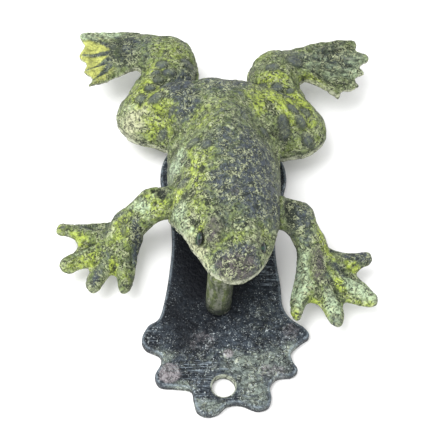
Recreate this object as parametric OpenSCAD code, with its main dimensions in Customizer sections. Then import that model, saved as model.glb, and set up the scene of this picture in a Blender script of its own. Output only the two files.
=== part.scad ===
// Frog door knocker: a hollow cast frog hinged over a lobed backplate.
// Millimetres. It lies on its back face: +Z out of the door, +Y up the door
// towards the hinge, +X across. The origin is on the back face, midway
// between the two screw holes.

/* [Backplate] */
// Thickness of the cast plate
plate_t = 3; // [2.5:0.1:3.4]
// Diameter of each screw hole
hole_d = 7.5; // [5:0.5:8]
// Distance between the two screw holes
hole_gap = 76; // [72:1:78]

/* [Hinge] */
// Height of the hinge pin above the door
hinge_z = 12; // [11.5:0.5:13]
// Distance of the hinge pin up the door from the origin
hinge_y = 56; // [54:1:57]
// Diameter of the hinge pin
pin_d = 4; // [3:0.5:4.5]
// Length of the hinge pin
pin_len = 20; // [19:1:24]
// Thickness of each hinge ear on the plate
ear_t = 4; // [3:0.5:5]
// Width of the bored lug under the frog's back
lug_w = 9; // [7:0.5:10]
// Radial clearance between the pin and the bore of the lug
run_gap = 0.08; // [0.03:0.01:0.1]

/* [Striker] */
// Diameter of the striker peg under the chin
peg_d = 8.4; // [7:0.2:9]
// Gap between the peg's domed end and the plate at rest
peg_gap = 0.2; // [0.1:0.1:0.5]

/* [Frog] */
// Wall of the hollow casting
wall = 3; // [2:0.5:4]
// Height of the casting's lower rim above the door
rim_z = 9; // [8:0.5:10]
// Height of the underside of the hind feet above the door
foot_z = 12.8; // [12.6:0.1:14]
// Height of the middle of the hands above the door
hand_z = 9; // [8:0.5:10]
// Diameter of each glass-black eye bead
eye_d = 5.6; // [4:0.2:7]

/* [Hidden] */

EXACT_FN = 64;
SKIN_FN = 18;
LIMB_FN = 14;

patina = "#8a9a4a";
slate = "#3c444e";
olive = "#7c8454";

ear_gap = 0.3;
ear_r = pin_d / 2 + 2.5;
ear_x = lug_w / 2 + ear_gap + ear_t / 2;
lug_top = 27;

peg_at = [-1.8, -9.3];
peg_top = 29;
peg_dome = 1.4;

// The plate's outline, anticlockwise from the top of its round upper end.
PLATE_OUTLINE = [
    [0, 64], [-12, 60.5], [-20, 51], [-22, 42], [-20.2, 33], [-18, 24], [-17.4, 14],
    [-18, 4], [-19.2, -6], [-21, -14], [-24.4, -16.8], [-26.4, -21.6], [-25, -25],
    [-20.6, -27.2], [-20, -30.4], [-21.8, -34.6], [-20.2, -38], [-15.5, -38.5],
    [-10.4, -39.2], [-9.4, -42.8], [-8.2, -46.6], [-5, -48], [-1.5, -46.9],
    [1.2, -44.3], [5.5, -43.8], [10.4, -45.6], [14, -44.6], [15.2, -41.6],
    [14.8, -37.6], [17.2, -34.4], [21.8, -33.6], [23.8, -31.4], [22.3, -28.4],
    [21.8, -25.2], [24.8, -21.9], [27.9, -19.2], [26.6, -16.4], [22.3, -13.2],
    [19.6, -8.5], [18.9, 0], [17.8, 9], [17.5, 18], [18.3, 27], [20.5, 35],
    [22, 43], [20, 51], [12, 60.5]];
OUTLINE_STEPS = 4;

// Stations of the hollow trunk: centre x, y, z, then the three half sizes.
TRUNK = [
    [1, -6.3, 27.4, 8.6, 8, 4.6],
    [0.5, 3, 26, 14.6, 9, 8.5],
    [0, 14, 20, 17.4, 9, 16.5],
    [0, 27, 13, 19.2, 11, 26],
    [0, 41, 11, 19.6, 12, 29],
    [0, 52, 11, 18, 12, 27],
    [0, 62, 13, 12.5, 11.5, 14]];

// Height of the casting's lower edge at the snout, the jaw and the shoulder.
chin_z = 25;
jaw_y = 8;
// Where the hollow starts behind the solid snout, and a reach past its sides
hollow_y = 1;
side_x = 30;
jaw_z = 22;
shoulder_y = 22;

// Each limb is a chain of stations: x, y, z, the half width, the half height.
LEG_LEFT = [[-9, 58, 17, 10, 9], [-28, 58, 13.5, 10, 7], [-27, 66, 14, 9, 7],
    [-19.6, 77, 16, 9.8, 6.5], [-19.6, 85.4, 16, 9.4, 5]];
LEG_RIGHT = [[9, 57, 17, 10, 9], [25.5, 55, 13.5, 9.6, 7], [24.5, 63, 14, 9, 7],
    [16.8, 74.5, 16, 9.8, 6.5], [18.4, 80.5, 16, 9, 5]];
ANKLE_LEFT = [-29, 87, 15, 9.5, 3];
ANKLE_RIGHT = [27.5, 86, 15, 8, 3];
TOES_LEFT = [[-50.5, 95.5], [-51, 86], [-49.3, 79], [-46.8, 74.5]];
TOES_RIGHT = [[46, 95.2], [50, 89], [48, 81.5], [45.8, 75.8], [39.4, 72.5]];
toe_r = 1.7;

ARM_LEFT = [[-19.5, 19.3, 20.5, 5.6, 5.6], [-24, 19.2, 18, 5.6, 5.4],
    [-31, 15, 13, 5.6, 4.6], [-35.6, 8.6, 9.4, 7.2, 2.6]];
ARM_RIGHT = [[19.2, 16.3, 20.5, 5.6, 5.6], [23.4, 15.8, 18, 5.6, 5.4],
    [27.6, 9.5, 13, 4.8, 4.6], [31, 1, 9.4, 7.4, 2.6]];
FINGERS_LEFT = [[-53.6, 15.8], [-51, 2], [-42.6, -6.4], [-32.2, -5.8]];
FINGERS_RIGHT = [[45.8, 7.2], [46.8, -8.6], [35.8, -16.2], [23.4, -13.6]];
finger_r = 2.5;
knuckle_r = 3.2;
// How far along the way from the palm to each fingertip its knuckle lies
knuckle_at = 0.45;

EYE_LEFT = [-9.2, -1.4, 31.2];
EYE_RIGHT = [10.6, -3, 31.2];

function turn(p0, p1, p2, p3, t) = 0.5 * (2 * p1 + (p2 - p0) * t
    + (2 * p0 - 5 * p1 + 4 * p2 - p3) * t * t
    + (3 * p1 - p0 - 3 * p2 + p3) * t * t * t);

// A smooth closed curve through every point of a list
function smooth(pts, steps) = let (n = len(pts)) [
    for (i = [0 : n - 1], k = [0 : steps - 1])
        turn(pts[(i + n - 1) % n], pts[i], pts[(i + 1) % n], pts[(i + 2) % n], k / steps)];

// An ellipsoid at one station, made smaller by the depth given
module bulb(s, depth = 0) {
    translate([s[0], s[1], s[2]])
        scale([s[3] - depth, s[4] - depth, s[5] - depth])
            sphere(r = 1, $fn = SKIN_FN);
}

// A flattened ball at one station of a limb
module joint_ball(s) {
    translate([s[0], s[1], s[2]])
        scale([s[3], s[3], s[4]])
            sphere(r = 1, $fn = LIMB_FN);
}

module limb(stations) {
    for (i = [0 : len(stations) - 2])
        hull() {
            joint_ball(stations[i]);
            joint_ball(stations[i + 1]);
        }
}

module trunk_solid(depth = 0) {
    for (i = [0 : len(TRUNK) - 2])
        hull() {
            bulb(TRUNK[i], depth);
            bulb(TRUNK[i + 1], depth);
        }
}

// Everything below the casting's lower edge, as a block to cut away
module below_rim() {
    far_y = 120;
    side = 60;
    deep = 60;
    translate([side, 0, 0])
        rotate([0, -90, 0])
            linear_extrude(2 * side)
                polygon([[-deep, -40], [chin_z, -40], [chin_z, 0], [jaw_z, jaw_y],
                    [rim_z, shoulder_y], [rim_z, far_y], [-deep, far_y]]);
}

// The hollow under the head, back and rump, left open at the rim
module hollow() {
    difference() {
        trunk_solid(wall);
        translate([-side_x, -40, 0])
            cube([2 * side_x, 40 + hollow_y, 60]);
    }
}

// A webbed hind foot from its ankle to its toes
module foot(ankle, toes) {
    for (i = [0 : len(toes) - 2])
        hull() {
            joint_ball(ankle);
            for (t = [toes[i], toes[i + 1]])
                translate([t[0], t[1], foot_z + toe_r])
                    sphere(r = toe_r, $fn = LIMB_FN);
        }
}

module hand(palm, tips) {
    for (t = tips) {
        knuckle = [palm[0], palm[1]] + knuckle_at * ([t[0], t[1]] - [palm[0], palm[1]]);
        hull() {
            joint_ball(palm);
            translate([knuckle[0], knuckle[1], hand_z])
                scale([1, 1, 0.75])
                    sphere(r = knuckle_r, $fn = LIMB_FN);
        }
        hull() {
            translate([knuckle[0], knuckle[1], hand_z])
                scale([1, 1, 0.75])
                    sphere(r = knuckle_r, $fn = LIMB_FN);
            translate([t[0], t[1], hand_z])
                scale([1, 1, 0.8])
                    sphere(r = finger_r, $fn = LIMB_FN);
        }
    }
}

module backplate() {
    color(slate)
        difference() {
            union() {
                linear_extrude(plate_t)
                    polygon(smooth(PLATE_OUTLINE, OUTLINE_STEPS));
                for (side = [-1, 1])
                    translate([side * ear_x - ear_t / 2, hinge_y, 0])
                        hinge_cheek(ear_t, plate_t - 1, hinge_z);
            }
            for (y = [-hole_gap / 2, hole_gap / 2])
                translate([0, y, -1])
                    cylinder(d = hole_d, h = plate_t + 2, $fn = EXACT_FN);
            translate([-pin_len, hinge_y, hinge_z])
                rotate([0, 90, 0])
                    cylinder(d = pin_d, h = 2 * pin_len, $fn = EXACT_FN);
        }
}

// A rounded cheek of the given thickness, from a low face up to the pin
module hinge_cheek(thick, low, high) {
    translate([0, -ear_r, low])
        cube([thick, 2 * ear_r, high - low]);
    translate([0, 0, high])
        rotate([0, 90, 0])
            cylinder(r = ear_r, h = thick, $fn = EXACT_FN);
}

module hinge_pin() {
    color(olive)
        translate([-pin_len / 2, hinge_y, hinge_z])
            rotate([0, 90, 0])
                cylinder(d = pin_d, h = pin_len, $fn = EXACT_FN);
}

module hinge_lug() {
    color(olive)
        translate([-lug_w / 2, hinge_y, 0])
            difference() {
                union() {
                    translate([0, -ear_r, hinge_z])
                        cube([lug_w, 2 * ear_r, lug_top - hinge_z]);
                    translate([0, 0, hinge_z])
                        rotate([0, 90, 0])
                            cylinder(r = ear_r, h = lug_w, $fn = EXACT_FN);
                }
                translate([-1, 0, hinge_z])
                    rotate([0, 90, 0])
                        cylinder(r = pin_d / 2 + run_gap, h = lug_w + 2, $fn = EXACT_FN);
            }
}

module frog_body() {
    color(patina)
        difference() {
            union() {
                trunk_solid();
                limb(LEG_LEFT);
                limb(LEG_RIGHT);
                foot(ANKLE_LEFT, TOES_LEFT);
                foot(ANKLE_RIGHT, TOES_RIGHT);
            }
            below_rim();
            hollow();
        }
}

module arm_left() {
    color(patina) {
        limb(ARM_LEFT);
        hand(ARM_LEFT[len(ARM_LEFT) - 1], FINGERS_LEFT);
    }
}

module arm_right() {
    color(patina) {
        limb(ARM_RIGHT);
        hand(ARM_RIGHT[len(ARM_RIGHT) - 1], FINGERS_RIGHT);
    }
}

module striker_peg() {
    r = peg_d / 2;
    low = plate_t + peg_gap;
    color(olive)
        translate([peg_at[0], peg_at[1], 0])
            rotate_extrude($fn = EXACT_FN)
                polygon(concat(
                    [for (a = [-90 : 15 : 0])
                        [r * cos(a), low + peg_dome * (1 + sin(a))]],
                    [[r, peg_top], [0, peg_top]]));
}

module eye(at) {
    translate(at)
        sphere(d = eye_d, $fn = EXACT_FN);
}

module eye_left() {
    color("black")
        eye(EYE_LEFT);
}

module eye_right() {
    color("black")
        eye(EYE_RIGHT);
}

backplate();
hinge_pin();
hinge_lug();
frog_body();
arm_left();
arm_right();
striker_peg();
eye_left();
eye_right();
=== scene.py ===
"""Frog door knocker: cast surfaces and patina finishes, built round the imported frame.

Shape code works in millimetres, in the frame's own axes: +Z out of the door, +Y up the
door towards the hinge, +X across. Meshes are written in metres.
"""
import logging
import math
from dataclasses import dataclass, field
from enum import Enum
from typing import Callable, Optional, Sequence

import bmesh
import bpy
import numpy as np
from mathutils import Matrix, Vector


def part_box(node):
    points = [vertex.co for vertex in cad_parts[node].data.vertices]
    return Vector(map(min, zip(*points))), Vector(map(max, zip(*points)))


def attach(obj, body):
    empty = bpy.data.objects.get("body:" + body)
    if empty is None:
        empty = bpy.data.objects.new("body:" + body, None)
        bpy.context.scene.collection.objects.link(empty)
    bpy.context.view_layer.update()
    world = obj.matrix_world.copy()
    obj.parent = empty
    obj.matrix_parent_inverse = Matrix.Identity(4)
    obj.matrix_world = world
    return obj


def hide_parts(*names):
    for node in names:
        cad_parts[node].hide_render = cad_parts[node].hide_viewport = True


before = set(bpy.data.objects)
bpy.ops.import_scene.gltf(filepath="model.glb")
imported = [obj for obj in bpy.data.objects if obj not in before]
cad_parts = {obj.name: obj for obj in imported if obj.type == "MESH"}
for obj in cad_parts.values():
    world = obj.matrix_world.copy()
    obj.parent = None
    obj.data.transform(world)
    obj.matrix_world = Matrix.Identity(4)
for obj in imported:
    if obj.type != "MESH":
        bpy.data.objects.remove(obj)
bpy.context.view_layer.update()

MM = 0.001
LOG = logging.getLogger("knocker")

Array = np.ndarray
Point2 = tuple[float, float]
Point3 = tuple[float, float, float]
Socket = bpy.types.NodeSocket


class Body(str, Enum):
    """The two moving bodies of the frame."""

    PLATE = "door_plate"
    FROG = "frog"


# ---------------------------------------------------------------- shape maths


def box_mm(node: str) -> Array:
    """Lowest and highest corners of a frame node, in millimetres."""
    return np.array(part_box(node)) / MM


def smooth_step(low: float, high: float, value: Array) -> Array:
    """Rises from 0 at low to 1 at high as 3t^2 - 2t^3."""
    t = np.clip((value - low) / (high - low), 0.0, 1.0)
    return t * t * (3.0 - 2.0 * t)


def smooth_max(a: Array, b: Array, blend: float) -> Array:
    """Greater of two fields, with a round of the given width where they are equal.

    Args:
        a: First field.
        b: Second field.
        blend: Width of the round.

    Returns:
        mix(b, a, h) + blend * h * (1 - h), where h runs from 0 to 1 across the meeting.
    """
    h = np.clip(0.5 + 0.5 * (a - b) / blend, 0.0, 1.0)
    return b + (a - b) * h + blend * h * (1.0 - h)


def smooth_min(a: Array, b: Array, blend: float) -> Array:
    """Lesser of two fields, with a round where they are equal."""
    return -smooth_max(-a, -b, blend)


def closed_curve(points: Sequence[Point2], steps: int = 6) -> Array:
    """A smooth loop through every point, by the Catmull-Rom cubic between neighbours.

    Args:
        points: Corners that the loop passes through.
        steps: Pieces between one corner and the next.

    Returns:
        An array of shape (len(points) * steps, 2).
    """
    p = np.array(points, float)
    p0, p1, p2, p3 = (np.roll(p, shift, axis=0)[:, None] for shift in (1, 0, -1, -2))
    t = (np.arange(steps) / steps)[None, :, None]
    loop = 0.5 * (2 * p1 + (p2 - p0) * t + (2 * p0 - 5 * p1 + 4 * p2 - p3) * t**2
                  + (3 * p1 - p0 - 3 * p2 + p3) * t**3)
    return loop.reshape(-1, 2)


def outline_distance(loop: Array, x: Array, y: Array) -> Array:
    """Distance to a closed outline, negative inside it.

    The least distance to any edge, signed by how many edges a ray towards +X crosses.

    Args:
        loop: Corners of the outline.
        x: Places to measure, across.
        y: Places to measure, up.

    Returns:
        Signed distances of the same shape as x.
    """
    nearest = np.full(x.shape, 1e9)
    inside = np.zeros(x.shape, bool)
    for (ax, ay), (bx, by) in zip(loop, np.roll(loop, -1, axis=0)):
        ex, ey = bx - ax, by - ay
        px, py = x - ax, y - ay
        t = np.clip((px * ex + py * ey) / (ex * ex + ey * ey + 1e-12), 0.0, 1.0)
        nearest = np.minimum(nearest, (px - t * ex) ** 2 + (py - t * ey) ** 2)
        if ay != by:
            inside ^= ((ay > y) != (by > y)) & (px < ex * py / ey)
    return np.where(inside, -1.0, 1.0) * np.sqrt(nearest)


def lattice(i: Array, j: Array, k: Array, salt: float = 0.0) -> Array:
    """A fixed number from 0 to 1 for each lattice point: the fraction of a large sine."""
    wave = np.sin(i * 127.1 + j * 311.7 + k * 74.7 + salt * 53.3) * 43758.5453
    return wave - np.floor(wave)


def value_noise(p: Array, size: float, salt: float = 0.0) -> Array:
    """Smooth noise from -1 to 1: lattice values blended by smooth steps on each axis.

    Args:
        p: Points, shape (n, 3), in millimetres.
        size: Spacing of the lattice.
        salt: Picks another pattern.

    Returns:
        One value for each point.
    """
    q = p / size
    base = np.floor(q)
    t = q - base
    w = t * t * (3 - 2 * t)
    total = np.zeros(len(p))
    for corner in np.ndindex(2, 2, 2):
        c = np.array(corner)
        weight = np.prod(np.where(c == 1, w, 1 - w), axis=1)
        total += weight * lattice(*(base + c).T, salt)
    return 2 * total - 1


def pebble_noise(p: Array, size: float, salt: float = 0.0) -> Array:
    """Round grains from 0 to 1: one less the distance to the nearest scattered point.

    Args:
        p: Points, shape (n, 3), in millimetres.
        size: Spacing of the grains.
        salt: Picks another pattern.

    Returns:
        One value for each point, 1 on top of a grain.
    """
    q = p / size
    base = np.floor(q)
    nearest = np.full(len(p), 9.0)
    for corner in np.ndindex(3, 3, 3):
        cell = base + np.array(corner) - 1
        seat = np.stack([lattice(*cell.T, salt + axis) for axis in (1, 2, 3)], axis=1)
        nearest = np.minimum(nearest, np.sum((cell + seat - q) ** 2, axis=1))
    return 1 - np.clip(np.sqrt(nearest), 0, 1)


@dataclass(frozen=True)
class Patch:
    """A soft-edged oval on the plan, for a patch of colour or a raised place.

    Args:
        x: Centre, across.
        y: Centre, up.
        across: Half width.
        up: Half height.
        turn: Turn of the oval, in degrees anticlockwise.
        strength: Value at its middle.
    """

    x: float
    y: float
    across: float
    up: float
    turn: float = 0.0
    strength: float = 1.0

    def radius(self, x: Array, y: Array) -> Array:
        """The oval's own radius, 0 at its middle and 1 on its edge.

        Args:
            x: Places, across.
            y: Places, up.

        Returns:
            Radii of the same shape as x.
        """
        c, s = math.cos(math.radians(self.turn)), math.sin(math.radians(self.turn))
        dx, dy = x - self.x, y - self.y
        return np.hypot((dx * c + dy * s) / self.across, (dy * c - dx * s) / self.up)

    def on(self, x: Array, y: Array, soft: float = 0.5) -> Array:
        """Value at each place: full inside, and 0 past a smooth fall of soft each side of 1."""
        return self.strength * (1 - smooth_step(1 - soft, 1 + soft, self.radius(x, y)))

    def ring(self, x: Array, y: Array, width: float = 0.2) -> Array:
        """A narrow band round the oval: a bell curve of its own radius about 1."""
        return self.strength * np.exp(-((self.radius(x, y) - 1) / width) ** 2)


def strongest(patches: Sequence[Patch], x: Array, y: Array, soft: float = 0.5) -> Array:
    """Greatest value of several patches at each place."""
    return np.max([patch.on(x, y, soft) for patch in patches], axis=0)


@dataclass(frozen=True)
class Stretch:
    """A rounded length of limb between two ends, tapering in plan and in height.

    Args:
        start: x, y, height of the axis, half width and half height at the first end.
        end: The same at the other end.
    """

    start: tuple[float, float, float, float, float]
    end: tuple[float, float, float, float, float]

    def _along(self, x: Array, y: Array) -> tuple[Array, Array]:
        """Nearest place on the axis, on the plan.

        Args:
            x: Places, across.
            y: Places, up.

        Returns:
            Share of the way along it, and the distance from it.
        """
        a, b = np.array(self.start[:2]), np.array(self.end[:2])
        d = b - a
        t = np.clip(((x - a[0]) * d[0] + (y - a[1]) * d[1]) / (d @ d), 0.0, 1.0)
        return t, np.hypot(x - a[0] - t * d[0], y - a[1] - t * d[1])

    def top(self, x: Array, y: Array, fall: float = 3.0) -> Array:
        """Height of its upper side: a half ellipse across, falling steeply outside it.

        Args:
            x: Places, across.
            y: Places, up.
            fall: Slope outside the limb's width.

        Returns:
            Heights of the same shape as x.
        """
        t, off = self._along(x, y)
        axis, half, high = (self.start[k] + t * (self.end[k] - self.start[k])
                            for k in (2, 3, 4))
        u = off / half
        return axis + high * np.sqrt(np.clip(1 - u * u, 0, 1)) \
            - fall * np.clip(off - half, 0, None)

    def solid(self, x: Array, y: Array, z: Array) -> Array:
        """Rough distance to the rounded limb in space, negative inside it.

        Args:
            x: Places, across.
            y: Places, up.
            z: Places, out of the door.

        Returns:
            (length of the offset in half widths - 1) * the smaller half width.
        """
        a, b = np.array(self.start), np.array(self.end)
        d = b[:3] - a[:3]
        t = np.clip(((x - a[0]) * d[0] + (y - a[1]) * d[1] + (z - a[2]) * d[2]) / (d @ d),
                    0.0, 1.0)
        half, high = (a[k] + t * (b[k] - a[k]) for k in (3, 4))
        off = (x - a[0] - t * d[0]) ** 2 + (y - a[1] - t * d[1]) ** 2
        return (np.sqrt(off / half**2 + ((z - a[2] - t * d[2]) / high) ** 2) - 1) * \
            np.minimum(half, high)


def chain(stations: Sequence[tuple[float, ...]]) -> list[Stretch]:
    """Stretches that join each station of a limb to the next."""
    return [Stretch(a, b) for a, b in zip(stations, stations[1:])]


@dataclass
class Lattice3:
    """A box of evenly spaced points in which a solid is described by a field.

    Args:
        low: Lowest corner, in millimetres.
        high: Highest corner.
        step: Spacing of the points.
    """

    low: Point3
    high: Point3
    step: float

    def __post_init__(self) -> None:
        """Works out the points along each axis and on the plan."""
        self.axes = [np.arange(a, b + self.step, self.step) for a, b in zip(self.low, self.high)]
        self.x, self.y = np.meshgrid(self.axes[0], self.axes[1], indexing="ij")
        self.z = self.axes[2][None, None, :]

    def under(self, top: Array) -> Array:
        """Rough distance below a height map: the rise to it, less by its own slope."""
        gx, gy = np.gradient(top, self.step)
        return (self.z - top[..., None]) / np.sqrt(1 + gx * gx + gy * gy)[..., None]

    def over(self, bottom: Array) -> Array:
        """Rough distance above a height map."""
        return -self.under(bottom)

    def read(self, values: Array, p: Array) -> Array:
        """Field between the lattice points, blended linearly on each axis.

        Args:
            values: Field on the lattice.
            p: Points, shape (n, 3).

        Returns:
            One value for each point.
        """
        q = (p - np.array(self.low)) / self.step
        base = np.clip(np.floor(q).astype(int), 0, np.array(values.shape) - 2)
        t = q - base
        total = np.zeros(len(p))
        for corner in np.ndindex(2, 2, 2):
            c = np.array(corner)
            weight = np.prod(np.where(c == 1, t, 1 - t), axis=1)
            total += weight * values[tuple((base + c).T)]
        return total

    def slope(self, values: Array, p: Array) -> Array:
        """Gradient of the field, by central differences.

        Args:
            values: Field on the lattice.
            p: Points, shape (n, 3).

        Returns:
            One vector for each point.
        """
        reach = self.step * np.eye(3)
        rows = [self.read(values, p + r) - self.read(values, p - r) for r in reach]
        return np.stack(rows, axis=1) / (2 * self.step)

    def skin(self, values: Array, rounds: int = 4) -> tuple[Array, Array]:
        """Closed quad skin of the field's zero surface.

        Each cell that the surface crosses has one vertex, the mean of the crossings on
        its twelve edges, and each crossed lattice edge has one quad of the four cells
        round it. The vertices are then evened out and drawn back to the surface.

        Args:
            values: Field on the lattice, negative inside.
            rounds: How often the vertices are evened out.

        Returns:
            Vertices, shape (n, 3), in millimetres, and quads, shape (m, 4).
        """
        inside = values < 0
        corners = list(np.ndindex(2, 2, 2))
        nx, ny, nz = (n - 1 for n in values.shape)
        count = sum(inside[i:i + nx, j:j + ny, k:k + nz].astype(np.int8)
                    for i, j, k in corners)
        cells = np.stack(np.nonzero((count > 0) & (count < 8)), axis=1)
        number = np.full((nx, ny, nz), -1, np.int64)
        number[tuple(cells.T)] = np.arange(len(cells))
        total = np.zeros((len(cells), 3))
        hits = np.zeros(len(cells))
        for a in corners:
            for axis in range(3):
                if a[axis] == 0:
                    b = np.array(a) + np.eye(3, dtype=int)[axis]
                    fa = values[tuple((cells + a).T)]
                    fb = values[tuple((cells + b).T)]
                    cross = (fa < 0) != (fb < 0)
                    t = np.where(cross, fa / np.where(cross, fa - fb, 1.0), 0.0)
                    spot = np.array(a) + t[:, None] * (b - a)
                    total += np.where(cross[:, None], spot, 0.0)
                    hits += cross
        p = (cells + total / hits[:, None]) * self.step + np.array(self.low)
        quads = np.concatenate([self._quads(inside, number, axis) for axis in range(3)])
        for _ in range(rounds):
            p = self._draw_back(values, even_out(p, quads))
        return p, quads

    def _draw_back(self, values: Array, p: Array) -> Array:
        """Moves points along the field's slope to its zero surface, at most a step.

        Args:
            values: Field on the lattice.
            p: Points, shape (n, 3).

        Returns:
            p - slope * field / slope squared.
        """
        g = self.slope(values, p)
        size = np.sum(g * g, axis=1)
        move = self.read(values, p) / np.maximum(size, 0.05)
        return p - g * np.clip(move, -self.step, self.step)[:, None]

    @staticmethod
    def _quads(inside: Array, number: Array, axis: int) -> Array:
        """Quads round every crossed lattice edge along one axis, facing outwards.

        Args:
            inside: Whether each lattice point is inside the solid.
            number: Vertex number of each cell, or -1.
            axis: The axis, 0 to 2.

        Returns:
            Vertex numbers, shape (n, 4).
        """
        turned = np.moveaxis(inside, [axis, (axis + 1) % 3, (axis + 2) % 3], [0, 1, 2])
        cells = np.moveaxis(number, [axis, (axis + 1) % 3, (axis + 2) % 3], [0, 1, 2])
        near, far = turned[:-1, 1:-1, 1:-1], turned[1:, 1:-1, 1:-1]
        i, j, k = np.nonzero(near != far)
        quad = np.stack([cells[i, j, k], cells[i, j + 1, k],
                         cells[i, j + 1, k + 1], cells[i, j, k + 1]], axis=1)
        return np.where(near[i, j, k][:, None], quad, quad[:, ::-1])


def even_out(p: Array, quads: Array, share: float = 0.6) -> Array:
    """Moves each vertex part of the way to the mean of its neighbours.

    Args:
        p: Vertices.
        quads: Corners of each face.
        share: Part of the way.

    Returns:
        The moved vertices.
    """
    a = quads.ravel()
    b = np.roll(quads, -1, axis=1).ravel()
    n = np.maximum(np.bincount(a, minlength=len(p)), 1)
    mean = np.stack([np.bincount(a, p[b, k], len(p)) for k in range(3)], axis=1) / n[:, None]
    return p + share * (mean - p)


def surface_normals(p: Array, quads: Array) -> Array:
    """Unit normals of the vertices, from the crossed diagonals of their faces.

    Args:
        p: Vertices.
        quads: Corners of each face.

    Returns:
        One vector for each vertex.
    """
    n = np.cross(p[quads[:, 2]] - p[quads[:, 0]], p[quads[:, 3]] - p[quads[:, 1]])
    total = np.stack([np.bincount(quads.ravel(), np.repeat(n[:, k], 4), len(p))
                      for k in range(3)], axis=1)
    return total / np.maximum(np.linalg.norm(total, axis=1), 1e-9)[:, None]


def turned_grid(radius: Array, height: Array, around: int) -> tuple[Array, Array]:
    """A surface of revolution about Z with closed poles, facing outwards.

    Point (i, j) lies at radius[i] and height[i], turned by the share j of a full turn.

    Args:
        radius: Radii of the rings, from the lowest to the highest.
        height: Heights of the rings.
        around: Points round each ring.

    Returns:
        Vertices and quads; a pole's quads have two corners on the pole.
    """
    turn = np.linspace(0, 2 * np.pi, around, endpoint=False)
    rings = np.stack([np.outer(radius, np.cos(turn)), np.outer(radius, np.sin(turn)),
                      np.repeat(height[:, None], around, axis=1)], axis=-1)
    i, j = np.meshgrid(np.arange(len(radius) - 1), np.arange(around), indexing="ij")
    a, b = i * around + j, i * around + (j + 1) % around
    quads = np.stack([a, b, b + around, a + around], axis=-1).reshape(-1, 4)
    return rings.reshape(-1, 3), quads


def close_poles(mesh: bpy.types.Mesh) -> None:
    """Joins vertices that lie in one place, so that a pole is one vertex.

    Args:
        mesh: The mesh, which is changed.
    """
    work = bmesh.new()
    work.from_mesh(mesh)
    bmesh.ops.remove_doubles(work, verts=work.verts, dist=1e-8)
    work.to_mesh(mesh)
    work.free()


def make_piece(name: str, p: Array, quads: Array, material: bpy.types.Material,
               masks: Optional[dict[str, Array]] = None) -> bpy.types.Object:
    """Writes a smooth-shaded mesh object in metres, with its masks as attributes.

    Args:
        name: The piece's name.
        p: Vertices in millimetres.
        quads: Corners of each face.
        material: Its finish.
        masks: Values at each vertex, by name, which the finish reads.

    Returns:
        The new object, at the origin and untransformed.
    """
    mesh = bpy.data.meshes.new(name)
    mesh.vertices.add(len(p))
    mesh.vertices.foreach_set("co", (p * MM).astype(np.float32).ravel())
    mesh.loops.add(quads.size)
    mesh.loops.foreach_set("vertex_index", quads.astype(np.int32).ravel())
    mesh.polygons.add(len(quads))
    mesh.polygons.foreach_set("loop_start", np.arange(0, quads.size, 4, dtype=np.int32))
    mesh.update(calc_edges=True)
    for key, values in (masks or {}).items():
        layer = mesh.attributes.new(key, "FLOAT", "POINT")
        layer.data.foreach_set("value", values.astype(np.float32))
    close_poles(mesh)
    mesh.polygons.foreach_set("use_smooth", np.ones(len(mesh.polygons), bool))
    mesh.materials.append(material)
    piece = bpy.data.objects.new(name, mesh)
    bpy.context.collection.objects.link(piece)
    return piece


def hand_over(piece: bpy.types.Object, body: Body, node: str) -> None:
    """Seats a finished piece in the frame and reports it.

    Args:
        piece: The piece.
        body: The body that it rides.
        node: The frame node that it stands for.
    """
    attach(piece, body.value)
    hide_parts(node)
    LOG.info("%s: %d faces on %s", piece.name, len(piece.data.polygons), body.value)


# ---------------------------------------------------------------- finishes


def paint(code: str) -> tuple[float, float, float, float]:
    """Linear colour with full alpha.

    Args:
        code: Six-digit sRGB code.

    Returns:
        Red, green, blue and alpha, from 0 to 1.
    """
    parts = [int(code[k:k + 2], 16) / 255 for k in (0, 2, 4)]
    r, g, b = (c / 12.92 if c <= 0.04045 else ((c + 0.055) / 1.055) ** 2.4 for c in parts)
    return (r, g, b, 1.0)


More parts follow.
